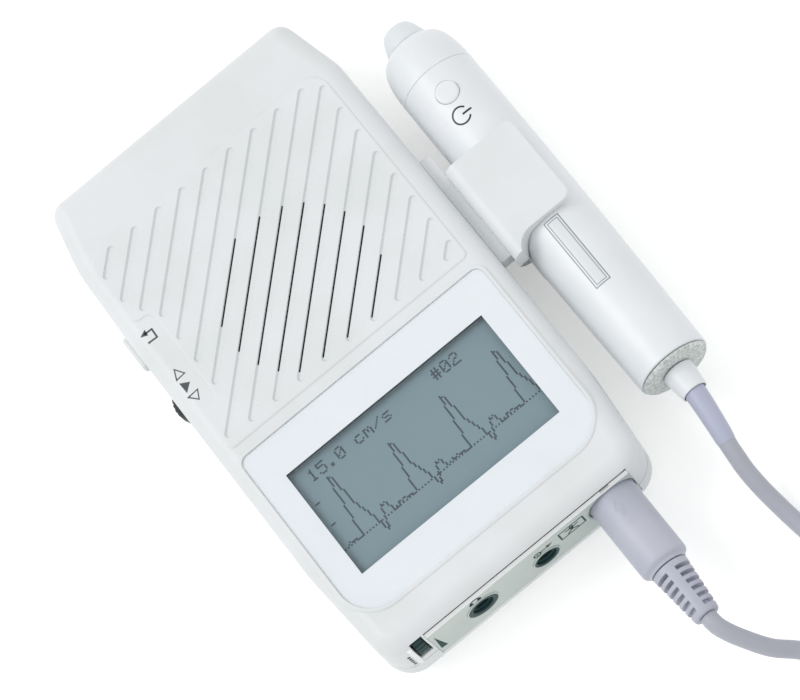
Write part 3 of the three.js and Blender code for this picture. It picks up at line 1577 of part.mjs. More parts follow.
add('plug_insert', plugInsert(), blackNylon());

export default doppler;
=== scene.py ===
import bpy
import numpy as np
from math import cos, pi, radians, sin
from mathutils import Matrix, Vector


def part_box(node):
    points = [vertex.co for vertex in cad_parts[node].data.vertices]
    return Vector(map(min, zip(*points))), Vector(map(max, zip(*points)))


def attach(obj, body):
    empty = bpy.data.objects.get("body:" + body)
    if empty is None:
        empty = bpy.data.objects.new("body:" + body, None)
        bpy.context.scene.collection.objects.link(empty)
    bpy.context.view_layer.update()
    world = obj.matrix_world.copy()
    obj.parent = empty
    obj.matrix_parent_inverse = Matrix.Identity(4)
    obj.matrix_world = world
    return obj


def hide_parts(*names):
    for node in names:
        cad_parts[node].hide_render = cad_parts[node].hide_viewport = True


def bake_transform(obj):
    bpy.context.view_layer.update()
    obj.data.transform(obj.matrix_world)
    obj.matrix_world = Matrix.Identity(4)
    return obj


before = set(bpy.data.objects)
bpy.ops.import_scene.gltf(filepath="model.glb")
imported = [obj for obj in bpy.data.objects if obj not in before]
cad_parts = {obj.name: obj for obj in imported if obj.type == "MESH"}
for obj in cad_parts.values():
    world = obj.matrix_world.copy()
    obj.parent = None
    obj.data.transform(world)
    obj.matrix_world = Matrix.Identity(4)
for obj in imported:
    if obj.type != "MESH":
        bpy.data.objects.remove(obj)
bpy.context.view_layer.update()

# Camera, table top and light: the unit is seen from its connector end, steeply from above,
# and the picture is turned so that the unit stands on one corner. A big soft lamp stands
# beyond the speaker end; the sky is even and white.
VIEW_AT, VIEW_DISTANCE = Vector((-0.0035, -0.00232, 0.0)), 0.978
VIEW_AZIMUTH, VIEW_ELEVATION, VIEW_ROLL = radians(4.881), radians(67.327), radians(-43.924)
VIEW_LENS, VIEW_SENSOR = 198.8, 36.0
SKY, LAMP, LAMP_SOFTNESS, LAMP_FROM = 0.80, 0.80, radians(30), Vector((-0.50, 0.32, 0.80))
TABLE_HALF, TABLE_GLOW = 6.0, 0.385


def added(name, data):
    """A new object with this data, linked to the scene."""
    made = bpy.data.objects.new(name, data)
    bpy.context.collection.objects.link(made)
    return made


back = Vector((
    sin(VIEW_AZIMUTH) * cos(VIEW_ELEVATION), -cos(VIEW_AZIMUTH) * cos(VIEW_ELEVATION), sin(VIEW_ELEVATION)))
right = Vector((cos(VIEW_AZIMUTH), sin(VIEW_AZIMUTH), 0.0))
up = back.cross(right)
rolled = (right * cos(VIEW_ROLL) + up * sin(VIEW_ROLL), up * cos(VIEW_ROLL) - right * sin(VIEW_ROLL), back)
camera = added("camera", bpy.data.cameras.new("camera"))
camera.data.lens, camera.data.sensor_width = VIEW_LENS, VIEW_SENSOR
camera.data.clip_start, camera.data.clip_end = 0.01, 50.0
camera.matrix_world = Matrix.Translation(VIEW_AT + back * VIEW_DISTANCE) @ Matrix(rolled).transposed().to_4x4()
bpy.context.scene.camera = camera
bpy.context.scene.view_settings.view_transform = "Standard"

lamp = added("window_light", bpy.data.lights.new("window_light", "SUN"))
lamp.data.energy, lamp.data.angle = LAMP, LAMP_SOFTNESS
lamp.matrix_world = LAMP_FROM.to_track_quat("Z", "Y").to_matrix().to_4x4()


def linear(code):
    """An sRGB hex colour as linear light: each share c is c/12.92 when dark, else ((c+0.055)/1.055)^2.4."""
    share = np.array([int(code[i:i + 2], 16) for i in (1, 3, 5)]) / 255.0
    light = np.where(share <= 0.04045, share / 12.92, ((share + 0.055) / 1.055) ** 2.4)
    return (*light.tolist(), 1.0)


def node(tree, kind, inputs=(), **settings):
    """Adds a shader node. An input that is a socket, or a node for its first output, is linked; any other
    is a value."""
    made = tree.nodes.new("ShaderNode" + kind)
    for name, value in settings.items():
        setattr(made, name, value)
    for name, value in dict(inputs).items():
        source = value.outputs[0] if isinstance(value, bpy.types.Node) else value
        if isinstance(source, bpy.types.NodeSocket):
            tree.links.new(source, made.inputs[name])
        else:
            made.inputs[name].default_value = value
    return made


def maths(tree, operation, first, second, **settings):
    """A node with one operation on two values."""
    return node(tree, "Math", {0: first, 1: second}, operation=operation, **settings)


def blank_tree(owner):
    """The owner's node tree, emptied."""
    owner.use_nodes = True
    owner.node_tree.nodes.clear()
    return owner.node_tree


def seen_directly(tree):
    """1 for camera, mirror and glass rays, which see the white room, and 0 for light that falls on things."""
    path = node(tree, "LightPath").outputs
    either = maths(tree, "MAXIMUM", path["Is Camera Ray"], path["Is Glossy Ray"])
    return maths(tree, "MAXIMUM", either, path["Is Transmission Ray"])


room = bpy.data.worlds.new("white_room")
bpy.context.scene.world = room
tree = blank_tree(room)
even, white = [node(tree, "Background", {"Color": linear("#ffffff"), "Strength": share}) for share in (SKY, 1.0)]
node(tree, "OutputWorld", {"Surface": node(tree, "MixShader", {0: seen_directly(tree), 1: even, 2: white})})

# Matt white table top: it keeps the unit's soft shadow, and its faint glow is seen but lights nothing
table_finish = bpy.data.materials.new("matt_white_table")
tree = blank_tree(table_finish)
matt = node(tree, "BsdfDiffuse", {"Color": linear("#f1f2f1")})
glow = node(tree, "Emission", {"Color": linear("#ffffff"), "Strength": TABLE_GLOW})
lit = node(tree, "AddShader", {0: matt, 1: glow})
node(tree, "OutputMaterial", {"Surface": node(tree, "MixShader", {0: seen_directly(tree), 1: matt, 2: lit})})
sheet = bpy.data.meshes.new("table_top")
sheet.from_pydata([(x * TABLE_HALF, y * TABLE_HALF, 0.0) for x, y in ((-1, -1), (1, -1), (1, 1), (-1, 1))],
                  [], [(0, 1, 2, 3)])
sheet.materials.append(table_finish)
added("table_top", sheet)

# Rear shell: the lower half of the case, one shallow moulding in white ABS. Ribs and two cross
# walls stand up from its floor and hold the cells, and four screws draw it to the front shell.
MM = 0.001
UNIT_SHIFT = (-11.4, 0.2, 0.0)
HALF_WIDTH, LEAN, WALL, REAR_ROUND, FRONT_ROUND = 37.5, 0.6, 2.0, 9.5, 4.5
FACE_Z, INNER_CEILING, REAR_TOP, FRONT_FOOT = 27.15, 25.5, 13.0 - 0.15, 13.0 + 0.15
PLAN = [
    (-35.3, -67, 6.5), (35.3, -67, 6.5), (37.5, -40, 60), (37.5, 50, 15),
    (33.6, 67, 4), (-33.6, 67, 4), (-37.0, 51, 40), (-37.5, 30, 60), (-37.5, -40, 60),
]
SCREW_PLACES = [(-26.5, 55.0), (26.5, 55.0), (-3.065, -57.5), (13.695, -57.5)]
PEG_PLACES = [(-4.25, 14.0), (11.75, 14.0)]
BAY_START, BAY_INNER, CROSS_WALL, BAY_END = 4.2, 5.4, 59.9, 59.9 + 1.2


def row(points):
    """The unit's millimetres as metres in the row's frame: shifted, then divided by 1000."""
    return (np.asarray(points, float) + UNIT_SHIFT) * MM


def stack(rings, ends="flat"):
    """Closed rings[ring, place], joined to their neighbours by four-sided faces. A flat end is one face
    over its ring; 'loop' joins the last ring to the first. The faces turn over where the volume inside,
    the sum of a . (b x c) over each face's fan of corners, is negative, so that they point outwards."""
    rings = np.asarray(rings, float)
    index = np.arange(rings.shape[0] * rings.shape[1]).reshape(rings.shape[:2])
    low, high = (index, np.roll(index, -1, axis=0)) if ends == "loop" else (index[:-1], index[1:])
    faces = [np.stack([low, np.roll(low, -1, axis=1), np.roll(high, -1, axis=1), high], -1).reshape(-1, 4)]
    if ends == "flat":
        faces += [index[:1, ::-1], index[-1:]]
    points = rings.reshape(-1, 3)
    fans = [points[array] for array in faces]
    if sum((fan[:, :1] * np.cross(fan[:, 1:-1], fan[:, 2:])).sum() for fan in fans) < 0:
        faces = [array[:, ::-1] for array in faces]
    return points, faces


def joined(*parts):
    """Several (points, faces) as one: each part's numbers follow on from the last."""
    starts = np.cumsum([0] + [len(points) for points, _ in parts])
    faces = [array + start for (_, arrays), start in zip(parts, starts) for array in arrays]
    return np.vstack([points for points, _ in parts]), faces


def across(first, second, along, axis):
    """Points in the order x, y, z from two coordinates across an axis and the one along it."""
    order = {"x": (along, first, second), "y": (first, along, second), "z": (first, second, along)}
    return np.stack(order[axis], -1)


def level(outline, place, axis="z"):
    """A flat outline as a ring at one place along an axis."""
    first, second = np.asarray(outline, float).T
    return across(first, second, np.full(len(first), float(place)), axis)


def prism(outline, low, high, axis="z"):
    """A straight prism over a closed outline."""
    return stack([level(outline, low, axis), level(outline, high, axis)])


def lofted(outline, sizes, axis="z", ends="flat"):
    """Rings along an axis: for each (size, place), the outline which the function gives for that size."""
    return stack([level(outline(size), place, axis) for size, place in sizes], ends)


def rectangle(x0, x1, y0, y1, *more):
    """The four corners of a rectangle, each with the same further values, such as a radius."""
    return [(x, y, *more) for x, y in ((x0, y0), (x1, y0), (x1, y1), (x0, y1))]


def block(x0, x1, y0, y1, z0, z1):
    """A square-edged block between two values on each axis."""
    return prism(rectangle(x0, x1, y0, y1), z0, z1)


def turned(profile, centre, axis="y", sides=72, ends="flat"):
    """A profile of (radius, place along the axis) carried round the axis: centre + r(cos a, sin a)."""
    profile = np.asarray(profile, float)
    angle = np.linspace(0, 2 * pi, sides, endpoint=False)
    first, second = profile[:, :1] * np.cos(angle) + centre[0], profile[:, :1] * np.sin(angle) + centre[1]
    return stack(across(first, second, np.broadcast_to(profile[:, 1:], first.shape), axis), ends)


def rounded_outline(corners, inset, steps=10):
    """Closed outline: each side moves in by inset, and each corner is an arc of its radius less inset,
    tangent to its two sides. Where the outline turns outwards, the arc's radius counts as negative."""
    corner = np.asarray(corners, float)
    radius = np.maximum(corner[:, 2:] - inset, 0.3)
    along = np.roll(corner[:, :2], -1, axis=0) - corner[:, :2]
    along /= np.linalg.norm(along, axis=1, keepdims=True)
    inward = np.column_stack([-along[:, 1], along[:, 0]])
    before, before_in = np.roll(along, 1, axis=0), np.roll(inward, 1, axis=0)
    facing = (before_in * inward).sum(1, keepdims=True)
    angle = np.arctan2(before[:, :1] * along[:, 1:] - before[:, 1:] * along[:, :1], facing)
    tip = corner[:, :2] + inset * (before_in + inward) / (1 + facing)
    radius = np.where(angle < 0, -radius, radius)
    centre = tip + radius * (before_in - before * np.tan(angle / 2))
    sweep = np.arctan2(-before_in[:, 1:], -before_in[:, :1]) + angle * np.linspace(0, 1, steps + 1)
    arcs = centre[:, None] + radius[:, None] * np.stack([np.cos(sweep), np.sin(sweep)], -1)
    return arcs.reshape(-1, 2)


def housing_form(inset, ceiling, steps=14):
    """Closed skin of the case: a quarter round of the rear radius below and of the front radius above,
    carried round the plan: for an angle a from 0 to 90 degrees the ring moves in by R(1 - sin a). The left
    side leans in above the rear round: its x shrinks in the ratio (half width - lean) to half width."""
    angle = np.linspace(0, pi / 2, steps)
    rear, front = REAR_ROUND - inset, FRONT_ROUND - inset
    insets = inset + np.concatenate([rear * (1 - np.sin(angle)), front * (1 - np.cos(angle))])
    heights = np.concatenate([inset + rear * (1 - np.cos(angle)), ceiling - front * (1 - np.sin(angle))])
    rings = np.stack([level(rounded_outline(PLAN, i), z) for i, z in zip(insets, heights)])
    rings[steps:, :, 0] *= np.where(rings[steps:, :, 0] < 0, 1 - LEAN / HALF_WIDTH, 1)
    return stack(rings)


def mesh_object(name, part):
    """An object at the origin whose mesh has the part's points, in the row's metres, and its faces."""
    points, faces = part
    mesh = bpy.data.meshes.new(name)
    counts = np.concatenate([np.full(len(array), array.shape[1]) for array in faces])
    corners = np.concatenate([array.ravel() for array in faces])
    mesh.vertices.add(len(points))
    mesh.vertices.foreach_set("co", row(points).astype(np.float32).ravel())
    mesh.loops.add(len(corners))
    mesh.loops.foreach_set("vertex_index", corners.astype(np.int32))
    mesh.polygons.add(len(counts))
    mesh.polygons.foreach_set("loop_start", np.concatenate([[0], np.cumsum(counts)[:-1]]).astype(np.int32))
    mesh.update(calc_edges=True)
    mesh.validate()
    return added(name, mesh)


def combined(made, operation, *parts):
    """Takes the parts from a piece (DIFFERENCE), adds them (UNION) or keeps what they share (INTERSECT)."""
    tools = [mesh_object("tool", part) for part in parts]
    for tool in tools:
        step = made.modifiers.new("step", "BOOLEAN")
        step.operation, step.solver, step.object = operation, "MANIFOLD", tool
    shaped = bpy.data.meshes.new_from_object(made.evaluated_get(bpy.context.evaluated_depsgraph_get()))
    made.modifiers.clear()
    rough, made.data = made.data, shaped
    bpy.data.meshes.remove(rough)
    for tool in tools:
        bpy.data.objects.remove(tool)


def piece(name, part, finish, body, slot, stands_for=(), cuts=(), ease=(), crease=35, even=True):
    """One piece of the model: a part shaped by boolean steps, its sharp edges eased by (mm, segments),
    smooth between its creases. It rides on its body and stands for CAD solids."""
    made = mesh_object(name, part)
    for operation, *tools in cuts:
        combined(made, operation, *tools)
    if ease:
        edge = made.modifiers.new("eased_edges", "BEVEL")
        edge.width, edge.segments = ease[0] * MM, ease[1]
        edge.limit_method, edge.angle_limit = "ANGLE", radians(30)
        edge.use_clamp_overlap, edge.miter_outer = True, "MITER_ARC"
    made.data.materials.clear()
    made.data.materials.append(finish)
    made.data.shade_smooth()
    made.data.set_sharp_from_angle(angle=radians(crease))
    if even:
        made.modifiers.new("flats_first", "WEIGHTED_NORMAL").keep_sharp = True
    if body:
        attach(made, body)
    if stands_for:
        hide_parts(*stands_for)
    return made


def dress(finish, *names):
    """Gives CAD solids that keep their shape a finish."""
    for name in names:
        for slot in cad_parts[name].material_slots:
            slot.material = finish


def blank_finish(name):
    """A new material, its node tree and the place on the piece, in metres."""
    finish = bpy.data.materials.new(name)
    tree = blank_tree(finish)
    return finish, tree, node(tree, "TexCoord").outputs["Object"]


def noise(tree, place, scale, detail):
    """Soft noise, as many blots to the metre as the scale says."""
    return node(tree, "TexNoise", {"Vector": place, "Scale": scale, "Detail": detail})


def ranged(tree, value, low, high, side="To"):
    """A share from 0 to 1 as a value from low to high; with "From", such a value as a share."""
    return node(tree, "MapRange", {"Value": value, side + " Min": low, side + " Max": high})


def two_tone(tree, factor, first, second):
    """Two colours, blended by a factor."""
    inputs = {"Factor": factor, 6: linear(first), 7: linear(second)}
    return node(tree, "Mix", inputs, data_type="RGBA").outputs[2]


def bump(tree, height, strength, depth):
    """A normal tilted by the slope of the height, whose full range is depth in metres."""
    return node(tree, "Bump", {"Strength": strength, "Distance": depth, "Height": height})


def principled(finish, tree, inputs):
    """Closes a material with a principled shader of these inputs."""
    node(tree, "OutputMaterial", {"Surface": node(tree, "BsdfPrincipled", inputs)})
    return finish


def moulded(name, colour, shade, roughness=0.42, grain=0.35, depth=0.006, gloss_play=0.08, cloud=18.0, **more):
    """Injection-moulded plastic: a fine even grain left by the eroded mould (its size in mm), a faint
    cloudiness in the colour, and gloss that wanders with the grain."""
    finish, tree, place = blank_finish(name)
    patch = ranged(tree, noise(tree, place, 1 / (cloud * MM), 4.0), 0.38, 0.62, "From")
    grains = noise(tree, place, 1 / (grain * MM), 2.0)
    return principled(finish, tree, {
        "Base Color": two_tone(tree, patch, colour, shade),
        "Roughness": ranged(tree, grains, roughness - gloss_play, roughness + gloss_play),
        "Normal": bump(tree, grains, 0.5, depth * MM), "IOR": 1.53, **more})


# Fine spark-eroded ABS: matt white with a cold cast. The grain is drawn at 0.35 mm, coarser than the
# real 0.1 mm, so that it just shows.
abs_white = moulded("abs_white_spark_eroded", "#e4e7e9", "#dee2e3", 0.46)
shared_openings = [
    block(-25.0, 30.2, -68, -64, 9.4, 24.9), block(-28.85, -25.55, -68, -64, 13.4, 24.9),
    *[turned([(1.8, 35.9), (1.8, 38.5)], place, "x", 32) for place in PEG_PLACES],
]
bay_walls = [block(x0, x1, BAY_START, BAY_END, z0, z1) for x0, x1, z0, z1 in (
    (17.3, 18.7, 2.3, 3.5), (-18.7, -17.3, 2.3, 3.5), (18.6, 20, 1, REAR_TOP), (-20, -18.6, 1, REAR_TOP))]
screw_posts = [turned([(2.9, 1), (2.9, REAR_TOP)], place, "z", 48) for place in SCREW_PLACES]
outer_skin, inner_skin = housing_form(0, FACE_Z), housing_form(WALL, INNER_CEILING)
screw_hole = [(2.45, -1), (2.32, 0.0), (2.3, 0.25), (2.3, 3.1), (1.55, 3.1), (1.55, 20)]
piece("rear_skin", outer_skin, abs_white, "unit", "white_abs", ["rear_shell"], [
    ("INTERSECT", block(-80, 80, -90, 90, -5, REAR_TOP)),
    ("DIFFERENCE", inner_skin, block(-17.3, 17.3, BAY_INNER, 68, -1, 11.3),
     block(-18.5, 18.5, 7.9, 68, 0.8, 2.3)),
    ("UNION", *bay_walls, block(-18.7, 18.7, BAY_START, BAY_INNER, 1, REAR_TOP),
     block(-18.7, 18.7, CROSS_WALL, BAY_END, 3.5, REAR_TOP), *screw_posts),
    ("DIFFERENCE", *shared_openings, *[turned(screw_hole, place, "z", 48) for place in SCREW_PLACES]),
])

# Two AA cells, side by side between pressed steel contacts: a printed shrink sleeve over a steel can
CELL_START, COPPER_START, BARE_START, CELL_END = 7.4, 44.0, 56.4, 58.5


def steel_sheet(name, colour, roughness, grain=0.25):
    """Cold-rolled or turned steel under nickel: a mirror blurred by short rolling streaks along Y."""
    finish, tree, place = blank_finish(name)
    drawn = node(tree, "Mapping", {"Vector": place, "Scale": (1 / (grain * MM), 120, 1 / (grain * MM))})
    streak = noise(tree, drawn, 1.0, 3.0)
    return principled(finish, tree, {
        "Base Color": linear(colour), "Metallic": 1.0,
        "Roughness": ranged(tree, streak, roughness - 0.08, roughness + 0.12),
        "Normal": bump(tree, streak, 0.3, 0.00001)})


def unit_y(y):
    """A place along Y in the unit's millimetres as metres in the row's frame."""
    return (y + UNIT_SHIFT[1]) * MM


def banded(name, bands, roughness):
    """A printed sleeve: colour by the place along the unit's Y, from a list of (start, colour)."""
    finish, tree, place = blank_finish(name)
    first, last = unit_y(bands[0][0]), unit_y(bands[-1][0])
    along = node(tree, "SeparateXYZ", {"Vector": place}).outputs["Y"]
    ramp = node(tree, "ValToRGB", {"Fac": ranged(tree, along, first, last, "From")})
    ramp.color_ramp.interpolation = "CONSTANT"
    stops = ramp.color_ramp.elements
    for start, colour in bands[:-1]:
        at = (unit_y(start) - first) / (last - first)
        stop = stops[0] if at == 0 else stops.new(at)
        stop.color = linear(colour)
    stops.remove(stops[-1])
    return principled(finish, tree, {
        "Base Color": ramp, "Roughness": roughness,
        "Normal": bump(tree, noise(tree, place, 700.0, 2.0), 0.2, 0.00003), "IOR": 1.5})


# The sleeve is glossy printed film: slate blue with a copper end band; the cap end shows bare steel
sleeve_up = banded("pet_film_printed_up", [
    (CELL_START, "#54677f"), (COPPER_START, "#b98a5c"), (BARE_START, "#c9ccd0"), (CELL_END, "#c9ccd0")], 0.24)
dress(sleeve_up, "battery_1", "battery_2")
nickel = steel_sheet("steel_nickel_plated_sheet", "#b9bcbf", 0.28)
dress(nickel, "battery_contact_negative", "battery_contact_positive", "battery_contact_bridge")

# Main board across the case: green lacquer over copper tracks on glass-fibre laminate, with the
# two switches, the potentiometer and the jog lever's sliding carrier in black nylon
TRACK_PITCH = 1.27


def lacquered_board(name, lacquer, copper):
    """Printed board: tracks on a 1.27 mm grid lie under the lacquer, paler than the bare laminate."""
    finish, tree, place = blank_finish(name)
    stripes = node(tree, "TexWave", {
        "Vector": place, "Scale": 2 * pi / (20 * TRACK_PITCH * MM) * 0.32, "Distortion": 1.5, "Detail": 0.0,
    }, wave_type="BANDS", bands_direction="X").outputs["Fac"]
    steps = node(tree, "TexVoronoi", {
        "Vector": place, "Scale": 1 / (6 * TRACK_PITCH * MM)}, distance="CHEBYCHEV")
    track = ranged(tree, maths(tree, "MULTIPLY", stripes, steps), 0.28, 0.32, "From")
    return principled(finish, tree, {
        "Base Color": two_tone(tree, track, lacquer, copper), "Roughness": 0.25,
        "Normal": bump(tree, track, 0.4, 0.00003), "IOR": 1.5})


board_green = lacquered_board("laminate_green_lacquer", "#1c5236", "#3c7a55")
dress(board_green, "main_board", "probe_board")
# Glass-filled nylon: near black, half matt, with a faint fibre mottle of about 0.4 mm
nylon_black = moulded("nylon_black_glass_filled", "#191c1d", "#232728", 0.48, 0.4, 0.01)
dress(nylon_black, "return_switch", "jog_carrier", "jog_switch", "volume_pot", "probe_switch", "lcd_frame")

# Display: a liquid crystal cell in a black frame over its backlight. Grey-green glass with a
# 128 by 64 grid of dots, each dark dot a square of 0.41 mm on a pitch of 0.423 mm.
DOT_PITCH, DOT, DOT_LIFT = 0.423, 0.41, 0.03
DOT_COLUMNS, DOT_ROWS = 128, 64
VIEW_Y, GLASS_TOP = -33.3, 25.1
GLYPHS = {
    "0": (14, 17, 19, 21, 25, 17, 14), "1": (4, 12, 4, 4, 4, 4, 14), "2": (14, 17, 1, 6, 8, 16, 31),
    "5": (31, 16, 30, 1, 1, 17, 14), ".": (0, 0, 0, 0, 0, 12, 12), " ": (0, 0, 0, 0, 0, 0, 0),
    "c": (0, 0, 14, 16, 16, 17, 14), "m": (0, 0, 26, 21, 21, 17, 17), "/": (0, 1, 2, 4, 8, 16, 0),
    "s": (0, 0, 15, 16, 14, 1, 30), "#": (10, 10, 31, 10, 31, 10, 10),
}
BEAT_COLUMNS = [*range(-4, 22), 23, 24, 26, 28, 30]
BEAT = [0, 8, 16, 25, 31, 30, 23, 14, 11, 8, 5, 1, -3, -5, -2, 1, 4, 6, 5, 6, 3, 1, 0, 1, 0, 2, 1, 2, 1, 1, 0]
BEATS = [(-20, 30), (15, 37), (50, 30), (85, 32), (120, 33)]
BEAT_TOP, BASE_ROW, TRACE_START = 31, 49, 3
DOT_SHARE, GAP_PALENESS = 0.93, 0.35


def lit_dots():
    """The dark dots as a grid[row, column]: two lines of figures, a dotted base line and a pulse trace whose
    columns are filled from one height to the next."""
    grid = np.zeros((DOT_ROWS, DOT_COLUMNS), bool)
    for text, column, top in (("15.0 cm/s", 8, 3), ("#02", 89, 3)):
        bits = [[[line * 2 >> (5 - i) & 1 for i in range(6)] for line in GLYPHS[mark]] for mark in text]
        grid[top:top + 7, column:column + 6 * len(text)] = np.array(bits, bool).transpose(1, 0, 2).reshape(7, -1)
    grid[BASE_ROW, ::2] = True
    grid[[20, 34], 2:5] = True
    place = np.concatenate([np.add(BEAT_COLUMNS, peak) for peak, _ in BEATS])
    height = np.concatenate([np.multiply(BEAT, top) / BEAT_TOP for _, top in BEATS])
    trace = np.round(BASE_ROW - np.interp(np.arange(DOT_COLUMNS), place, height)).astype(int)
    last = np.concatenate([trace[:1], trace[:-1]])
    rows = np.arange(DOT_ROWS)[:, None]
    inside = (rows > np.minimum(trace, last)) & (rows < np.maximum(trace, last))
    grid[:, TRACE_START:] |= ((rows == trace) | inside)[:, TRACE_START:]
    return grid


dot_row, dot_column = np.nonzero(lit_dots())
dot_x = (dot_column - (DOT_COLUMNS - 1) / 2) * DOT_PITCH
dot_y = VIEW_Y - (dot_row - (DOT_ROWS - 1) / 2) * DOT_PITCH
square = np.array(rectangle(-1, 1, -1, 1)) * DOT / 2
dot_corners = (np.stack([dot_x, dot_y], -1)[:, None] + square).reshape(-1, 2)
dots = level(dot_corners, GLASS_TOP + DOT_LIFT), [np.arange(len(dot_corners)).reshape(-1, 4)]
# Twisted crystal between polarisers: a dot is blue-grey, a little uneven, never black
dot_ink = moulded("liquid_crystal_dark_dot", "#33434b", "#3d4d55", 0.3, 0.6, 0.0)
piece("display_dots", dots, dot_ink, "unit", "lcd_glass", even=False)


def crystal_glass(name, ground, gap_tone, sheen):
    """Glass cell: satin polariser over a grey-green reflector, with the dot grid's gaps a touch paler:
    a gap shows where the place within the pitch is beyond the dot's share on either axis."""
    finish, tree, place = blank_finish(name)
    axes = node(tree, "SeparateXYZ", {"Vector": place}).outputs
    edges = []
    for axis, centre in (("X", UNIT_SHIFT[0] * MM), ("Y", unit_y(VIEW_Y))):
        cycle = maths(tree, "PINGPONG", maths(tree, "ADD", axes[axis], 1 - centre), DOT_PITCH * MM)
        edges.append(maths(tree, "GREATER_THAN", cycle, DOT_SHARE * DOT_PITCH * MM))
    faint = maths(tree, "MULTIPLY", maths(tree, "MAXIMUM", *edges), GAP_PALENESS)
    fleck = ranged(tree, noise(tree, place, 1800.0, 3.0), -0.12, 0.12)
    factor = maths(tree, "ADD", faint, fleck, use_clamp=True)
    return principled(finish, tree, {
        "Base Color": two_tone(tree, factor, ground, gap_tone), "Roughness": sheen, "IOR": 1.5,
        "Specular IOR Level": 0.2})


reflector = crystal_glass("liquid_crystal_cell_reflective", "#879ca3", "#95a9ae", 0.55)
dress(reflector, "lcd_glass")
# Gasket of black foam between the glass and the window, flush with the edge of the view: a dark line
foam_black = moulded("foam_black_die_cut", "#17191b", "#202325", 0.9, 0.3, 0.05)
piece(
    "display_gasket", block(-27.95, 27.95, VIEW_Y - 15.1, VIEW_Y + 15.1, GLASS_TOP + 0.05, 26.83), foam_black,
    "unit", "black_nylon", cuts=[("DIFFERENCE", block(-27.3, 27.3, VIEW_Y - 14.85, VIEW_Y + 14.3, 25, 28))])
# Cast acrylic light guide: milky, glossy
dress(moulded("acrylic_light_guide_cast", "#eef1f4", "#e6ebef", 0.18, 0.5, 0.002), "lcd_backlight")

# Speaker behind the grille: pressed steel basket, ferrite ring, black paper cone, and a square
# of woven dust cloth over it that darkens the slots
dress(moulded("dust_cloth_black_woven", "#111314", "#1b1e20", 0.8, 0.25, 0.05), "speaker_cloth")
dress(moulded("paper_cone_pressed_black", "#25272a", "#2d3033", 0.72, 0.6, 0.04), "speaker_cone")
dress(moulded("ferrite_sintered_grey", "#43464a", "#4c5054", 0.6, 0.5, 0.02), "speaker_magnet")
dress(steel_sheet("steel_basket_pressed", "#a9acb0", 0.35), "speaker_frame")

# Front shell: the upper half of the case, one moulding with two raised fields on its face, the
# grille panel and the window's rim. Grooves run across the panel, open as slots over the speaker.
PANEL_LEFT, PANEL_RIGHT, PANEL_FOOT, PANEL_HEAD = -33.2, 33.2, -7.0, 50.8
PANEL_CORNER, PANEL_FOOT_CORNER = 5.0, 1.5
TAB_RIGHT, TAB_TOP, TAB_BOTTOM, TAB_ROUND, TAB_MARGIN = -28.5, 30.7, 4.8, 2.0, 1.9
GROOVES, GROOVE_FIRST, GROOVE_PITCH, GROOVE_SHORTEST, SLOT_SHORTEST = 17, -75.5, 6.815, 1.7, 1.2
GROOVE_LEFT, GROOVE_RIGHT, GROOVE_LOW, GROOVE_HIGH = -31.4, 31.5, -4.2, 48.4
SLOT_FIELD, SLOT_X, SLOT_Y, SLOT_HALF, SLOT_INSET, SLOT_SHIFT = 19.2, 0.85, 12.25, 0.19, 0.15, 0.9
GROOVE_FORM = [
    (0.5, 26.93), (0.64, 26.96), (0.74, 27.05), (0.79, 27.2), (0.83, 27.38), (0.91, 27.46), (1.04, 27.54)]
PANEL_FORM = [(-0.2, 26.6), (-0.1, 27.1), (0.0, 27.25), (0.12, 27.4), (0.28, 27.49), (0.44, 27.5)]
RIM_FORM = [(1.4, 26.6), (1.22, 26.98), (1.12, 27.2), (1.0, 27.4), (0.82, 27.5), (0.42, 27.5)]
SEAT_FORM = [(0.22, 26.8), (0.22, 27.4), (0.28, 27.47), (0.42, 27.54)]
WINDOW = [(-33.2, -57, 8.5), (33.2, -57, 8.5), (33.2, -10.2, 2.0), (-33.2, -10.2, 2.0)]


def groove_ends():
    """Offset, low and high end of each diagonal groove x - y = offset, clipped to the field and stepped
    round the key tab; what is left of the shortest ones is dropped."""
    offset = GROOVE_FIRST + GROOVE_PITCH * np.arange(GROOVES)
    high = np.minimum(GROOVE_RIGHT, GROOVE_HIGH + offset)
    low = np.maximum(GROOVE_LEFT, GROOVE_LOW + offset)
    side, top = TAB_RIGHT + TAB_MARGIN, TAB_TOP + TAB_MARGIN + offset
    beside = (side - offset > TAB_BOTTOM - TAB_MARGIN) & (side - offset < TAB_TOP + TAB_MARGIN)
    above = ~beside & (top > GROOVE_LEFT) & (top < side)
    low = np.where(beside, side, np.where(above, top, low))
    return np.stack([offset, low, high])[:, high - low > GROOVE_SHORTEST]


def around(centre, radius, angle):
    """Points at an angle, in radians, and a distance from a centre: centre + r(cos a, sin a)."""
    return np.column_stack([centre[0] + radius * np.cos(angle), centre[1] + radius * np.sin(angle)])


def stadium(low, high, offset, half, steps=9):
    """Outline round the diagonal from x = low to x = high: a half circle of radius half at each end."""
    turn = np.linspace(-pi / 2, pi / 2, steps) + pi / 4
    return np.vstack([around((high, high - offset), half, turn), around((low, low - offset), -half, turn)])


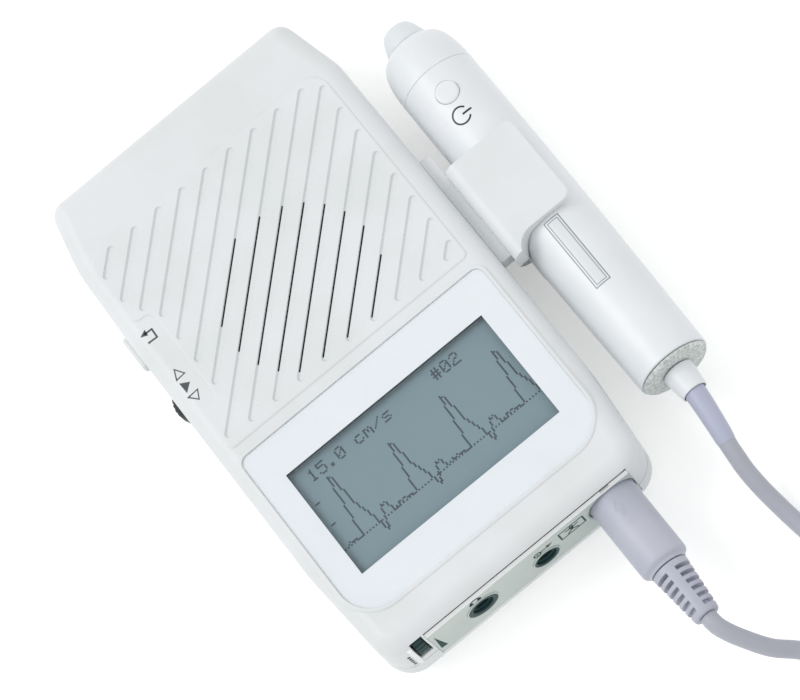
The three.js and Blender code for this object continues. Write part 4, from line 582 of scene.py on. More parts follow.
def tab_notched(inset):
    """The panel's outline, moved in by inset, with the step round the key legends: rounded corners that
    turn out of the field have their radius grown by the inset instead."""
    i = inset
    left, right, foot, head = PANEL_LEFT + i, PANEL_RIGHT - i, PANEL_FOOT + i, PANEL_HEAD - i
    tab_x, tab_top, tab_low = TAB_RIGHT + i, TAB_TOP + i, TAB_BOTTOM - i
    return rounded_outline([
        (left, foot, PANEL_FOOT_CORNER - i), (right, foot, PANEL_FOOT_CORNER - i),
        (right, head, PANEL_CORNER - i), (left, head, PANEL_CORNER - i), (left, tab_top, TAB_ROUND - i),
        (tab_x, tab_top, TAB_ROUND + i), (tab_x, tab_low, TAB_ROUND + i), (left, tab_low, TAB_ROUND - i),
    ], 0.0, 8)


def grown_window(grow):
    """The window's outline, moved out by grow."""
    return rounded_outline(WINDOW, -grow)


offset, groove_low, groove_high = groove_ends()
grooves = [
    lofted(lambda half: stadium(a, b, o, half), GROOVE_FORM) for a, b, o in zip(groove_low, groove_high, offset)]
middle = (offset + SLOT_X + SLOT_Y) / 2
away = np.hypot(middle - SLOT_X, middle - offset - SLOT_Y)
half_run = np.sqrt(np.maximum(SLOT_FIELD ** 2 - away ** 2, 0)) / 2 ** 0.5
slot_low = np.maximum(middle - half_run, groove_low + SLOT_INSET)
slot_high = np.minimum(middle + half_run, groove_high - SLOT_INSET)
slot_ends = np.stack([slot_low, slot_high, offset], -1)[slot_high - slot_low > SLOT_SHORTEST]


def in_slots(half, low, high):
    """A prism in each open slot. The slots lie beside the middles of their grooves, up and to the left."""
    ends = slot_ends - (SLOT_SHIFT / 2, SLOT_SHIFT / 2, SLOT_SHIFT)
    return joined(*[prism(stadium(a, b, o, half, 5), low, high) for a, b, o in ends])


piece("front_skin", outer_skin, abs_white, "unit", "white_abs", ["front_shell"], [
    ("INTERSECT", block(-80, 80, -90, 90, FRONT_FOOT, 40)),
    ("UNION", lofted(tab_notched, PANEL_FORM), lofted(grown_window, RIM_FORM)),
    ("DIFFERENCE", inner_skin, lofted(grown_window, SEAT_FORM),
     block(-28, 28, VIEW_Y - 15.15, VIEW_Y + 15.15, 24, 28), *shared_openings, joined(*grooves),
     in_slots(SLOT_HALF, 25, 27.42), block(-38.5, -35, 23.1, 32.7, 18.5, 22.5),
     turned([(6.9, 18.7), (6.9, 22.3)], (-32.0, 10.4), "z", 64)),
    ("UNION", block(-28.9, -25.5, -67.0, -66.6, 13.3, 15.5)),
], crease=38)
# Near-black strips just under the grooves, over the dark cloth behind: painted shade that makes the slots black
# right up to the groove
slot_shade_black = moulded("painted_slot_shade_black", "#060707", "#0b0c0c", 0.95, 0.25, 0.05)
piece("painted_slot_shade_strips", in_slots(SLOT_HALF + 0.01, 25.2, 26.84), slot_shade_black, "unit", "black_nylon")
# Guard beside the volume wheel and the narrow ledge over the sockets: the shell's own edges, a little glossier,
# and coloured whiter than the faces round them: a painted highlight where they catch the light
guard = prism([
    (-28.87, -65.0), (-28.87, -67.3), (-29.1, -67.4), (-29.6, -67.38), (-29.9, -67.2), (-30.05, -66.9),
    (-30.05, -65.0)], 13.6, 23.9)
ledge = prism([
    (-67.0, 23.2), (-66.3, 23.2), (-66.3, 24.1), (-66.38, 24.17), (-66.95, 23.62), (-67.0, 23.52),
], -24.95, 30.15, "x")
painted_highlight_white = moulded("abs_white_painted_edge_highlight", "#f2f5f5", "#eceff0", 0.36, 0.35, 0.002)
piece("shell_edges", joined(guard, ledge), painted_highlight_white, "unit", "white_abs", cuts=[
    ("DIFFERENCE", block(22.9, 25.3, -68, -66, 23.75, 24.42))])

# Display window: a clear cast sheet let into the rim, its back printed white except for the view.
# The print is a layer of screen ink under the gloss of the sheet.
PANE_FORM = [(0.1, 26.94), (0.14, 26.98), (0.14, 27.26), (0.1, 27.32), (0.0, 27.35)]
VIEW_HALF_X, VIEW_HALF_Y = 27.1, 14.25
PRINT_LOW, PRINT_TOP, PRINT_SHIFT = 26.85, 26.93, -0.38


def clear_sheet(name, gloss):
    """Polished clear plastic, thin enough not to bend what lies under it: light goes straight through, and
    a share of it, more at a low angle, is thrown back."""
    finish, tree, place = blank_finish(name)
    wave = bump(tree, noise(tree, place, 60.0, 1.0), 0.04, 0.0001)
    outside = maths(tree, "SUBTRACT", 1.0, node(tree, "NewGeometry").outputs["Backfacing"])
    thrown_back = maths(tree, "MULTIPLY", node(tree, "Fresnel", {"IOR": 1.45, "Normal": wave}), outside)
    through = node(tree, "BsdfTransparent", {"Color": linear("#fbfcfd")})
    shine = node(tree, "BsdfGlossy", {"Color": linear("#ffffff"), "Roughness": gloss, "Normal": wave})
    node(tree, "OutputMaterial", {"Surface": node(tree, "MixShader", {0: thrown_back, 1: through, 2: shine})})
    return finish


clear = clear_sheet("acrylic_clear_cast", 0.05)
piece("window_pane", lofted(grown_window, PANE_FORM), clear, "unit", "clear_acrylic", ["display_window"])
# Screen ink: opaque, brighter and cleaner than the housing's plastic
ink_white = moulded("screen_ink_white", "#f8fafb", "#f4f7f8", 0.35, 0.5, 0.001)
view_low, view_high = VIEW_Y + PRINT_SHIFT - VIEW_HALF_Y, VIEW_Y + PRINT_SHIFT + VIEW_HALF_Y
piece("window_print", prism(grown_window(0.16), PRINT_LOW, PRINT_TOP), ink_white, "unit", "clear_acrylic", cuts=[
    ("DIFFERENCE", block(-VIEW_HALF_X, VIEW_HALF_X, view_low, view_high, 25, 28))])

# Marks beside the keys, pad-printed in dark grey: a return arrow by the button, and three
# triangles by the lever, the middle one filled
MARK_LIFT, MARK_SINK, ARROW_LINE, TRIANGLE_LINE = 0.02, 0.1, 0.42, 0.27


def ribbon(points, width, closed=False):
    """The outline of a stroke along a flat path: each point moves out by half the width along the mean of
    its two sides' normals, lengthened by 1/cos of half the turn."""
    path = np.asarray(points, float)
    along = np.diff(np.vstack([path, path[:1]]) if closed else path, axis=0)
    along /= np.linalg.norm(along, axis=1, keepdims=True)
    normal = np.column_stack([-along[:, 1], along[:, 0]])
    before = np.roll(normal, 1, axis=0) if closed else np.vstack([normal[:1], normal])
    after = normal if closed else np.vstack([normal, normal[-1:]])
    mitre = (before + after) / (1 + (before * after).sum(1, keepdims=True))
    return path + mitre * width / 2, path - mitre * width / 2


def stroke(points, width, low, high, closed=False):
    """A printed line of real thickness: the ribbon's four edges carried along the path."""
    left, right = ribbon(points, width, closed)
    rings = np.stack([level(left, low), level(right, low), level(right, high), level(left, high)], 1)
    return stack(rings, "loop" if closed else "flat")


def printed(marks, surface):
    """Marks as thin solids let into a level surface. (points, width) is a line, (points, width, True) a
    closed one, and (points,) a filled shape."""
    low, high = surface - MARK_SINK, surface + MARK_LIFT
    return joined(*[
        stroke(points, size[0], low, high, *size[1:]) if size else prism(points, low, high)
        for points, *size in marks])


key_marks = printed([
    ([(-33.2, 25.2), (-30.8, 25.05), (-30.7, 27.35), (-32.7, 27.45)], ARROW_LINE),
    ([(-33.75, 27.5), (-32.15, 26.7), (-32.05, 28.3)],),
    ([(-32.23, 16.4), (-30.86, 14.2), (-33.21, 14.06)], TRIANGLE_LINE, True),
    ([(-33.22, 13.07), (-31.09, 11.8), (-33.11, 10.17)],),
    ([(-30.79, 9.29), (-31.83, 7.21), (-33.48, 9.15)], TRIANGLE_LINE, True),
], FACE_Z)
# Pad-printing ink: dark grey, satin, thin enough to follow the grain below it
ink_grey = moulded("pad_print_ink_grey", "#3c4447", "#4b5356", 0.4, 0.3, 0.004)
piece("key_marks", key_marks, ink_grey, "unit", "black_nylon", even=False)

# Return button: a small white ABS cap in a slot of the left side, with soft edges and a flange
# behind the wall that keeps it in
CAP_CORNERS = rectangle(-4.5, 4.5, -1.7, 1.7, 0.9)
CAP_FORM = [(0.62, -38.0), (0.4, -37.96), (0.15, -37.8), (0.03, -37.55), (0.0, -37.3), (0.0, -35.0)]
CAP_MIDDLE = (27.9, 20.5)
piece("return_cap", joined(
    lofted(lambda inset: rounded_outline(CAP_CORNERS, inset, 9) + CAP_MIDDLE, CAP_FORM, "x"),
    block(-35.2, -34.2, 22.5, 33.3, 17.9, 22.65),
), abs_white, "return_button", "white_abs", ["return_button"])

# Jog lever: half a disc of black nylon with five grip teeth, turning on a pin of its carrier
JOG, JOG_RADIUS, TOOTH_DEPTH, TOOTH_FLANK = (-32.0, 10.4), 6.05, 0.35, 0.22
TOOTH_PITCH, TEETH_HALF = radians(11), radians(28)
JOG_FORM = [(0.45, 19.0), (0.14, 19.1), (0.0, 19.4), (0.0, 21.6), (0.14, 21.9), (0.45, 22.0)]


def eased_step(share):
    """A share from 0 to 1 with soft ends: s*s*(3 - 2*s)."""
    return share * share * (3 - 2 * share)


jog_turn = np.linspace(pi / 2, 3 * pi / 2, 121)
tooth = np.clip(1 - np.abs(((jog_turn - pi) / TOOTH_PITCH + 2.5) % 1 - 0.5) / TOOTH_FLANK, 0, 1)
inside_teeth = np.abs(jog_turn - pi) < TEETH_HALF
jog_radius = JOG_RADIUS - TOOTH_DEPTH * inside_teeth * eased_step(tooth)
piece(
    "jog_nose", lofted(lambda inset: around(JOG, jog_radius - inset, jog_turn), JOG_FORM), nylon_black,
    "jog_lever", "black_nylon", ["jog_lever"], [
        ("UNION", turned([(3.0, 19.0), (3.0, 22.0)], JOG, "z", 48)),
        ("DIFFERENCE", turned([(1.8, 18), (1.8, 23)], JOG, "z", 32))])

# Volume wheel: teal-black nylon with thirty grip notches in its rim, on the potentiometer's shaft
WHEEL, WHEEL_LOW, WHEEL_HIGH, WHEEL_RADIUS, WHEEL_BORE = (-61.1, 18.8), -27.2 - 1.3, -27.2 + 1.3, 6.3, 1.8
NOTCHES, NOTCH_DEPTH, NOTCH_FLANK = 30, 0.28, 0.26
wheel_turn = np.linspace(0, 2 * pi, 480, endpoint=False)
notch = np.clip(1 - np.abs((wheel_turn * NOTCHES / (2 * pi)) % 1 - 0.5) / NOTCH_FLANK, 0, 1)
rim = WHEEL_RADIUS - NOTCH_DEPTH * eased_step(notch)
wheel_form = [
    (WHEEL_BORE, WHEEL_LOW), (rim - 0.4, WHEEL_LOW), (rim - 0.1, WHEEL_LOW + 0.12), (rim, WHEEL_LOW + 0.35),
    (rim, WHEEL_HIGH - 0.35), (rim - 0.1, WHEEL_HIGH - 0.12), (rim - 0.4, WHEEL_HIGH), (WHEEL_BORE, WHEEL_HIGH)]
wheel = lofted(lambda radius: around(WHEEL, radius, wheel_turn), wheel_form, "x", "loop")
nylon_teal = moulded("nylon_teal_black", "#1f3b3c", "#264445", 0.5, 0.35, 0.006, **{"Specular IOR Level": 0.3})
piece("grip_wheel", wheel, nylon_teal, "volume_wheel", "teal_nylon", ["volume_wheel"])

# Connector panel: a pale grey ABS insert at the foot end, held by its flange between the shells,
# with openings for two sockets and the cable's plug
PANEL_FRONT, PANEL_BACK = -67.0, -64.7
EARPHONE, OUTPUT, PLUG = (-11.52, 16.8), (5.39, 15.0), (24.1, 17.0)
INSERT_LEFT, INSERT_RIGHT, INSERT_LOW, INSERT_TOP = -24.96, 30.16, 9.44, 24.6 - 1.42


def insert_outline(i):
    """The insert's outline in the opening, as (x, z), with its sides and foot moved in by i."""
    left, right, low = INSERT_LEFT + i, INSERT_RIGHT - i, INSERT_LOW + i
    corners = [(left, low, 1.0), (right, low, 1.0), (right, INSERT_TOP, 0.3), (left, INSERT_TOP, 0.3)]
    return rounded_outline(corners, 0, 8)


def hole(radius, centre, mouth=0.25):
    """A round hole along Y with a bevelled mouth."""
    wide = radius + mouth
    profile = [(wide, -67.6), (wide, PANEL_FRONT), (radius, PANEL_FRONT + mouth), (radius, -60)]
    return turned(profile, centre)


# Sockets' panel: the same eroded ABS, a little greyer and duller; its grey-green tone is darkened as painted
# shade for an end turned away from the lamp
abs_grey_with_end_shade = moulded("abs_grey_eroded_painted_end_shade", "#c9d3ce", "#c0cbc6", 0.5)
insert_form = [(0.1, PANEL_FRONT), (0.03, -66.94), (0.0, -66.85), (0.0, PANEL_BACK + 0.1)]
piece("end_panel", lofted(insert_outline, insert_form, "y"), abs_grey_with_end_shade, "unit", "grey_abs", ["connector_panel"], [
    ("UNION", block(-25.5, 30.7, PANEL_BACK, -63.7, 8.9, 23.2)),
    ("DIFFERENCE", hole(4.15, EARPHONE, 0.06), hole(3.55, OUTPUT, 0.06), hole(5.3, PLUG),
     turned([(6.45, -67.6), (6.45, PANEL_FRONT), (6.2, -66.8), (6.2, -66.1)], PLUG)),
])

# Two 3.5 mm sockets: teal-black nylon noses with a sloped lip round the bore, a plated steel
# sleeve inside, and a square body that stands on the board
SOCKET_FRONT = PANEL_FRONT - 0.2
SOCKETS = [("earphone", EARPHONE, 4.1), ("output", OUTPUT, 3.5)]


def socket(centre, nose):
    """The nose is a closed profile round the bore: lip, mouth cone, bore and back; the body is a block."""
    x, z = centre
    front = SOCKET_FRONT
    profile = [
        (nose, -63.2), (nose, front + 0.3), (nose - 0.12, front + 0.08), (nose - 0.35, front), (2.9, front),
        (2.72, front + 0.06), (2.6, front + 0.2), (2.55, front + 0.8), (1.95, front + 0.8), (1.85, front + 0.95),
        (1.85, front + 9), (0.05, front + 9), (0.05, -57.6), (nose - 0.4, -57.6),
    ]
    body = block(x - 3.3, x + 3.3, -63.4, -52.8, z - 3.3, z + 3.3)
    return joined(turned(profile, centre), body, block(x - 2.4, x + 2.4, -52.9, -47.8, 15.4, 17.0))


def sleeve_lining(centre):
    """A thin plated tube just inside the bore, its front edge rolled outwards."""
    profile = [(1.84, 7), (1.84, 1.9), (1.78, 1.8), (1.7, 1.8), (1.66, 1.9), (1.66, 7)]
    return turned([(radius, SOCKET_FRONT + depth) for radius, depth in profile], centre, "y", 48, "loop")


def washer(centre, nose):
    """A flat ring round the nose, its front edge softened."""
    return turned([
        (nose - 0.24, -66.5), (nose - 0.24, -67.22), (nose - 0.2, -67.26), (nose, -67.24), (nose + 0.04, -67.2),
        (nose + 0.04, -66.5)], centre, ends="loop")


for name, centre, nose in SOCKETS:
    piece(name + "_socket", socket(centre, nose), nylon_teal, "unit", "teal_nylon", [name + "_jack"])
sleeve_steel = steel_sheet("steel_sleeve_plated", "#c3c6c9", 0.22)
linings = joined(*[sleeve_lining(centre) for _, centre, _ in SOCKETS])
piece("socket_sleeves", linings, sleeve_steel, "unit", "steel")
dress(nylon_black, "probe_socket")
# A thin pale washer holds each nose in the panel
washer_grey = moulded("nylon_pale_washer", "#c9d2ce", "#bfc9c5", 0.4)
washers = joined(*[washer(centre, nose) for _, centre, nose in SOCKETS])
piece("socket_washers", washers, washer_grey, "unit", "grey_abs")

# Pictograms on the panel, pad-printed: a volume wedge by the wheel, headphones and an output
# arrow above the sockets, and a framed standing figure beside the plug
TICKS, TICK_LOW, TICK_PITCH, TICK_HEIGHT = 5, 14.4, 1.35, 0.55


def arc(centre, radius, start, end, steps=17):
    """Points along an arc, from one angle to another in degrees."""
    return around(centre, radius, np.radians(np.linspace(start, end, steps)))


def on_panel(part):
    """A flat part drawn in (x, z, height) turned on to the panel: height becomes the place along -Y."""
    points, faces = part
    return points[:, [0, 2, 1]] * (1, -1, 1), faces


def corner_y(x):
    """The shell's rounded corner by the wheel, a little outside its plan: Y at a place along X."""
    return -60.5 - np.sqrt(6.5 ** 2 - (x + 29.2) ** 2)


end_marks = on_panel(printed([
    ([(-23.9, 20.4), (-24.4, 12.3), (-22.8, 12.0)],),
    (arc((-12.2, 21.75), 1.15, -5, 185), 0.46),
    (rectangle(-13.75, -12.75, 21.0, 22.0),), (rectangle(-11.65, -10.65, 21.0, 22.0),),
    (arc((4.2, 19.5), 0.85, 0, 350, 25), 0.4), (arc((4.2, 19.5), 0.3, 0, 330, 11),),
    ([(4.9, 19.5), (7.2, 19.9)], 0.42), ([(6.9, 19.2), (8.4, 20.1), (6.8, 20.6)],),
    (rectangle(10.3, 16.7, 17.0, 20.9), 0.4, True),
    (arc((13.5, 20.0), 0.4, 0, 345, 21), 0.42), ([(13.5, 19.6), (13.5, 18.5)], 0.6),
    ([(11.7, 19.9), (13.5, 19.2), (15.3, 19.9)], 0.42), ([(12.0, 17.5), (13.5, 18.6), (15.0, 17.5)], 0.45),
], -PANEL_FRONT))
tick_x = np.array([-31.0, -30.4])
tick_plan = np.column_stack([
    np.append(tick_x, tick_x[::-1]), np.append(corner_y(tick_x) + 0.1, corner_y(tick_x)[::-1] - 0.05)])
wheel_marks = [prism(tick_plan, z, z + TICK_HEIGHT) for z in TICK_LOW + TICK_PITCH * np.arange(TICKS)]
ink_teal = moulded("pad_print_ink_teal", "#2c4140", "#385250", 0.6, 0.3, 0.004, **{"Specular IOR Level": 0.1})
piece("panel_marks", joined(end_marks, joined(*wheel_marks)), ink_teal, "unit", "black_nylon", even=False)

# Battery cover: the middle of the back and of the head end in one white ABS moulding. It slides
# off towards the head on two tongues, pushed by the thumb on five cross grips.
GRIPS, GRIP_START, GRIP_PITCH, GRIP_WIDTH = 5, 44.0, 2.4, 1.1
GRIP_FORM = [(-0.25, -0.1), (-0.12, 0.02), (0.0, 0.15), (0.05, 0.5), (0.2, 0.6)]
grips = [
    lofted(lambda inset: rounded_outline(rectangle(-8, 8, y, y + GRIP_WIDTH, 0.5), inset, 5), GRIP_FORM)
    for y in GRIP_START + GRIP_PITCH * np.arange(GRIPS)]
piece("cover_skin", outer_skin, abs_white, "battery_cover", "white_abs", ["battery_cover"], [
    ("INTERSECT", block(-17, 17, BAY_INNER + 0.3, 80, -5, 11)),
    ("DIFFERENCE", inner_skin),
    ("UNION", block(-18.2, 18.2, 8.2, 54.0, 1.1, 1.9)),
    ("DIFFERENCE", *grips),
])

# Four case screws: pan heads of zinc-plated steel deep in their holes, each with a cross recess
SCREW_PROFILE = [
    (0.05, 1.2), (1.1, 1.22), (1.7, 1.4), (2.0, 1.85), (2.0, 3.0), (1.25, 3.0), (1.25, 18.75), (0.05, 20.0)]
RECESS_FORM, RECESS_LONG, RECESS_SHORT = [(1.0, 0.9), (0.96, 1.3), (0.45, 2.2)], 1.25, 0.3
zinc = steel_sheet("steel_zinc_plated_screw", "#b4b7b6", 0.32, 0.12)
for number, (x, y) in enumerate(SCREW_PLACES, 1):
    arms = [
        lofted(lambda s: rectangle(x - a * s, x + a * s, y - b * s, y + b * s), RECESS_FORM)
        for a, b in ((RECESS_LONG, RECESS_SHORT), (RECESS_SHORT, RECESS_LONG))]
    piece(
        "screw_" + str(number), turned(SCREW_PROFILE, (x, y), "z", 48), zinc, "unit", "steel",
        ["case_screw_" + str(number)], [("DIFFERENCE", *arms)])

# Holder: a base plate pegged to the case's right side and the clip that slides down its rail, a
# C-shaped spring of white ABS open away from the case. Its edges are eased by the mould.
BASE_FRONT, CLIP_X0, CLIP_X1 = 39.9, 40.2, 58.6
CLIP_LOW, CLIP_STEP, CLIP_HIGH, CLIP_MIDDLE_Z = -13.2, -10.0, 13.0, 14.0
MOUTH_HALF, ARM, ARM_ROUND, CLIP_FILLET, CLIP_CORNER, CLIP_BACK, TOP_CORNER = 9.7, 1.6, 3.0, 5.0, 2.2, 2.1, 1.6
PROBE = (52.0, 14.0)
base_pegs = [turned([(1.5, 36.2), (1.5, 37.9)], place, "x", 32) for place in PEG_PLACES]
piece("clip_base", block(37.53, 40.25, -10.4, 20.5, 7.5, 20.5), abs_white, "unit", "white_abs", ["holder_base"], [
    ("UNION", block(BASE_FRONT - 0.1, 40.9, -10.4, 12.7, 11.5, 16.5), *base_pegs),
    ("DIFFERENCE", prism([(-12, 6), (0.6, 6), (-10.6, 17.0), (-12, 17.0)], 36, 42, "x")),
], ease=(0.15, 2))

# The clip: the C seen along Y, as (x, z), has a back with two round corners, two arms and the half
# circle of its mouth. Seen from above it has a fillet and a cut-back foot.
arm_half, shoulder = MOUTH_HALF + ARM, CLIP_X0 + CLIP_BACK
c_shape = np.vstack([
    arc((CLIP_X0 + ARM_ROUND, -arm_half + ARM_ROUND), ARM_ROUND, 180, 270, 9),
    [(CLIP_X1, -arm_half), (CLIP_X1, -MOUTH_HALF)], arc((PROBE[0], 0), MOUTH_HALF, 270, 90, 41),
    [(CLIP_X1, MOUTH_HALF), (CLIP_X1, arm_half)],
    arc((CLIP_X0 + ARM_ROUND, arm_half - ARM_ROUND), ARM_ROUND, 90, 180, 9),
]) + (0, CLIP_MIDDLE_Z)
clip_plan = np.vstack([
    [(CLIP_X0 - 1, CLIP_LOW - 1), (shoulder, CLIP_LOW - 1)],
    arc((shoulder + CLIP_FILLET, CLIP_STEP - CLIP_FILLET), CLIP_FILLET, 180, 90, 15),
    arc((CLIP_X1 - CLIP_CORNER, CLIP_STEP + CLIP_CORNER), CLIP_CORNER, 270, 360, 11),
    arc((CLIP_X1 - TOP_CORNER, CLIP_HIGH - TOP_CORNER), TOP_CORNER, 0, 90, 9), [(CLIP_X0 - 1, CLIP_HIGH)],
])
foot_cut = [(-15, 1), (-7.5, 1), (-7.5, 5), (-13.0, 19.0), (-15, 19.0)]
piece("clip", prism(c_shape, CLIP_HIGH, CLIP_LOW, "y"), abs_white, "unit", "white_abs", ["probe_holder"], [
    ("INTERSECT", prism(clip_plan, -5, 30)),
    ("DIFFERENCE", block(CLIP_X0 - 1, 41.2, -18, CLIP_HIGH - 0.6, 11.2, 16.8),
     prism(foot_cut, CLIP_X0 - 1, shoulder + 0.4, "x")),
], ease=(0.45, 3))

# Probe: a round barrel of white ABS with a domed head screwed on at a seam, and the soft grey
# end cap it is closed with. A power button sits near the head.
SEAM_Y, NECK_Y, TIP_Y, END_Y = 34.9, 46.0, 52.2, -51.7
BARREL_R, BARREL_END_R, BARREL_BORE, BUTTON_Y, BUTTON_R, FLANGE_R = 9.4, 8.7, 7.1, 27.9, 2.75, 3.45
OGIVE_R, OGIVE_SWELL, OGIVE_POWER = 6.7, 2.7, 2.4


def eased(profile, ease, steps=5):
    """An open profile with its corners eased: each is the quadratic curve from a point `ease` before the
    corner to one `ease` after it, or nearly half way to the next corner where that is nearer."""
    points = np.asarray(profile, float)
    corner = points[1:-1]
    reach = lambda other: (other - corner) * np.minimum(
        0.46, ease / np.maximum(np.linalg.norm(other - corner, axis=1, keepdims=True), 1e-9))
    start, end = corner + reach(points[:-2]), corner + reach(points[2:])
    t = np.linspace(0, 1, steps)[None, :, None]
    curve = (1 - t) ** 2 * start[:, None] + 2 * t * (1 - t) * corner[:, None] + t * t * end[:, None]
    return np.vstack([points[:1], curve.reshape(-1, points.shape[1]), points[-1:]])


barrel_profile = np.vstack([
    [(BARREL_BORE, END_Y)], eased([(8.1, END_Y), (BARREL_END_R, END_Y), (9.05, -30.0)], 0.5),
    eased([(9.15, -22.0), (BARREL_R, -8.0), (BARREL_R, 10.0)], 6.0, 9),
    eased([(BARREL_R, 20.0), (BARREL_R, SEAM_Y - 0.06), (9.0, SEAM_Y - 0.06)], 0.12),
    [(BARREL_BORE, SEAM_Y - 0.06)],
])
button_hole = [(0.08, 14), (0.08, 23.0), (0.1, 23.4), (0.16, 24.2)]
button_hole = turned([(BUTTON_R + gap, z) for gap, z in button_hole], (PROBE[0], BUTTON_Y), "z", 80)
# The probe's white ABS is a lighter copy of the housing's: painted fill light against the shade on the barrel's
# lower side
probe_white_lightened = moulded("abs_white_probe_painted_fill", "#eceff2", "#e7ebee", 0.38, 0.35)
piece("barrel", turned(barrel_profile, PROBE, "y", 128, "loop"), probe_white_lightened, "probe", "white_abs", [
    "probe_body"], [("DIFFERENCE", button_hole)])

share = np.linspace(0.03, 0.97, 22)
ogive = np.column_stack([
    OGIVE_R + OGIVE_SWELL * np.sqrt(1 - share ** OGIVE_POWER), SEAM_Y + (NECK_Y - 0.8 - SEAM_Y) * share])
head_profile = np.vstack([
    [(4.2, SEAM_Y - 3.0), (6.8, SEAM_Y - 3.0), (6.8, SEAM_Y)],
    eased([(9.0, SEAM_Y), (BARREL_R, SEAM_Y), ogive[0]], 0.12), ogive,
    eased([(6.75, NECK_Y - 0.8), (6.3, NECK_Y - 0.25), (5.75, NECK_Y)], 0.5), [(4.2, NECK_Y)],
])
domed_head = turned(head_profile, PROBE, "y", 128, "loop")
piece("domed_head", domed_head, probe_white_lightened, "probe", "white_abs", ["probe_head"])
# Transducer nose: white plastic over the crystals, polished by wiping, so it shines beside the head
nose_profile = np.vstack([
    [(0.02, NECK_Y - 3.0), (3.9, NECK_Y - 3.0), (3.9, NECK_Y + 0.3)],
    eased([(5.0, NECK_Y + 0.3), (5.4, NECK_Y + 0.3), (5.25, NECK_Y + 1.2)], 0.25),
    eased([(4.7, 49.0), (3.95, 51.0), (3.2, 51.75), (0.02, TIP_Y)], 1.0, 8),
])
nose_white = moulded("polymer_white_polished", "#e6eaed", "#e1e6e9", 0.33, 0.5, 0.001, 0.02)
piece("nose", turned(nose_profile, PROBE, "y", 96), nose_white, "probe", "white_abs", ["probe_tip"])

button_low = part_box("probe_button")[0][2] / MM
flange_top = button_low + 1.0
button_profile = np.vstack([
    [(0.02, button_low), (FLANGE_R, button_low), (FLANGE_R, flange_top), (BUTTON_R, flange_top)],
    eased([(BUTTON_R, 21.0), (BUTTON_R, 23.62), (2.1, 23.8), (0.02, 23.9)], 0.4, 7),
])
power_button = turned(button_profile, (PROBE[0], BUTTON_Y), "z", 72)
piece("power_button", power_button, probe_white_lightened, "probe_button", "white_abs", ["probe_button"])

# End cap: pale grey ABS, eroded more coarsely than the rest, which shows as a dark speckle. It is
# pressed into the barrel round the collar.
CAP_PROFILE = [
    (3.05, -0.9), (7.5, -0.9), (7.8, -0.86), (8.05, -0.7), (8.35, -0.35), (8.36, -0.3), (6.8, -0.3), (6.8, 1.6),
    (3.05, 1.6)]
cap_grey = moulded("abs_grey_rough_eroded", "#e9edeb", "#bac4c0", 0.62, 0.5, 0.09, cloud=0.7)
end_cap = turned([(radius, END_Y + y) for radius, y in CAP_PROFILE], PROBE, "y", 96, "loop")
piece("end_cap", end_cap, cap_grey, "probe", "grey_abs", ["probe_end_cap"])

# Inside the nose: two half discs of poled ceramic, dull and straw-coloured, on a block of loaded
# resin, dark and half matt
ceramic = moulded("ceramic_poled_zirconate", "#d2c9a6", "#c8be99", 0.55, 0.4, 0.004)
dress(ceramic, "crystal_send", "crystal_receive")
dress(moulded("epoxy_resin_loaded", "#3a3d42", "#43474c", 0.5, 0.5, 0.01), "probe_backing")

# Printed on the barrel: a standby sign, a ring open towards the side with a bar through the gap,
# and a bare rating plate, a thin silvery film inside a fine double border
SIGN_X, SIGN_Y, SIGN_R = 51.2, 21.4, 2.05
PLATE_X0, PLATE_X1, PLATE_Y0, PLATE_Y1 = 49.7, 53.7, -30.1, -10.8
PLATE_TOP, PLATE_THICK, PLATE_ACROSS, PLATE_DOWN = 0.03, 0.08, 17, 33
BORDER_LIFT, LINE_STEP, LINE_SINK = 0.025, 0.25, 0.05


def barrel_radius(y):
    """The barrel's radius at a place along its axis."""
    return np.interp(y, [END_Y, -8.0, SEAM_Y], [BARREL_END_R, BARREL_R, BARREL_R])


def wrapped(part, centre, radius, lift=0.0):
    """A flat part drawn in (x, y, height) laid round a bar along Y, whose radius may change with y: x
    becomes an arc of the same length, and height is measured out from the surface."""
    points, faces = part
    bend, out = (points[:, 0] - centre[0]) / radius(points[:, 1]), radius(points[:, 1]) + points[:, 2] + lift
    return np.column_stack([centre[0] + out * np.sin(bend), points[:, 1], centre[1] + out * np.cos(bend)]), faces


def fine_line(points, width, closed=False, lift=0.0):
    """A stroke on the barrel, its path first cut into steps short enough to follow the round."""
    path = np.asarray(points, float)
    ends = np.vstack([path, path[:1]]) if closed else path
    count = np.maximum(1, np.ceil(np.linalg.norm(np.diff(ends, axis=0), axis=1) / LINE_STEP)).astype(int)
    cut_path = np.vstack([np.linspace(a, b, n, endpoint=False) for a, b, n in zip(ends[:-1], ends[1:], count)])
    cut_path = cut_path if closed else np.vstack([cut_path, ends[-1:]])
    return wrapped(stroke(cut_path, width, -LINE_SINK, MARK_LIFT, closed), PROBE, barrel_radius, lift)


def box_line(inset, width):
    """A closed border line on the plate."""
    frame_line = rectangle(PLATE_X0 + inset, PLATE_X1 - inset, PLATE_Y0 + inset, PLATE_Y1 - inset)
    return fine_line(frame_line, width, True, BORDER_LIFT)


standby = joined(
    fine_line(arc((SIGN_X, SIGN_Y), SIGN_R, 34, 326, 49), 0.42),
    fine_line([(SIGN_X + 0.4, SIGN_Y), (SIGN_X + 2.75, SIGN_Y)], 0.46),
)
ink_black = moulded("pad_print_ink_black", "#15181a", "#1d2123", 0.4, 0.3, 0.004)
piece("standby_sign", standby, ink_black, "probe", "black_nylon", even=False)
film_x = np.linspace(PLATE_X0, PLATE_X1, PLATE_ACROSS)
film = [(x, PLATE_TOP) for x in film_x] + [(x, PLATE_TOP - PLATE_THICK) for x in film_x[::-1]]
plate = stack([level(film, y, "y") for y in np.linspace(PLATE_Y0, PLATE_Y1, PLATE_DOWN)])
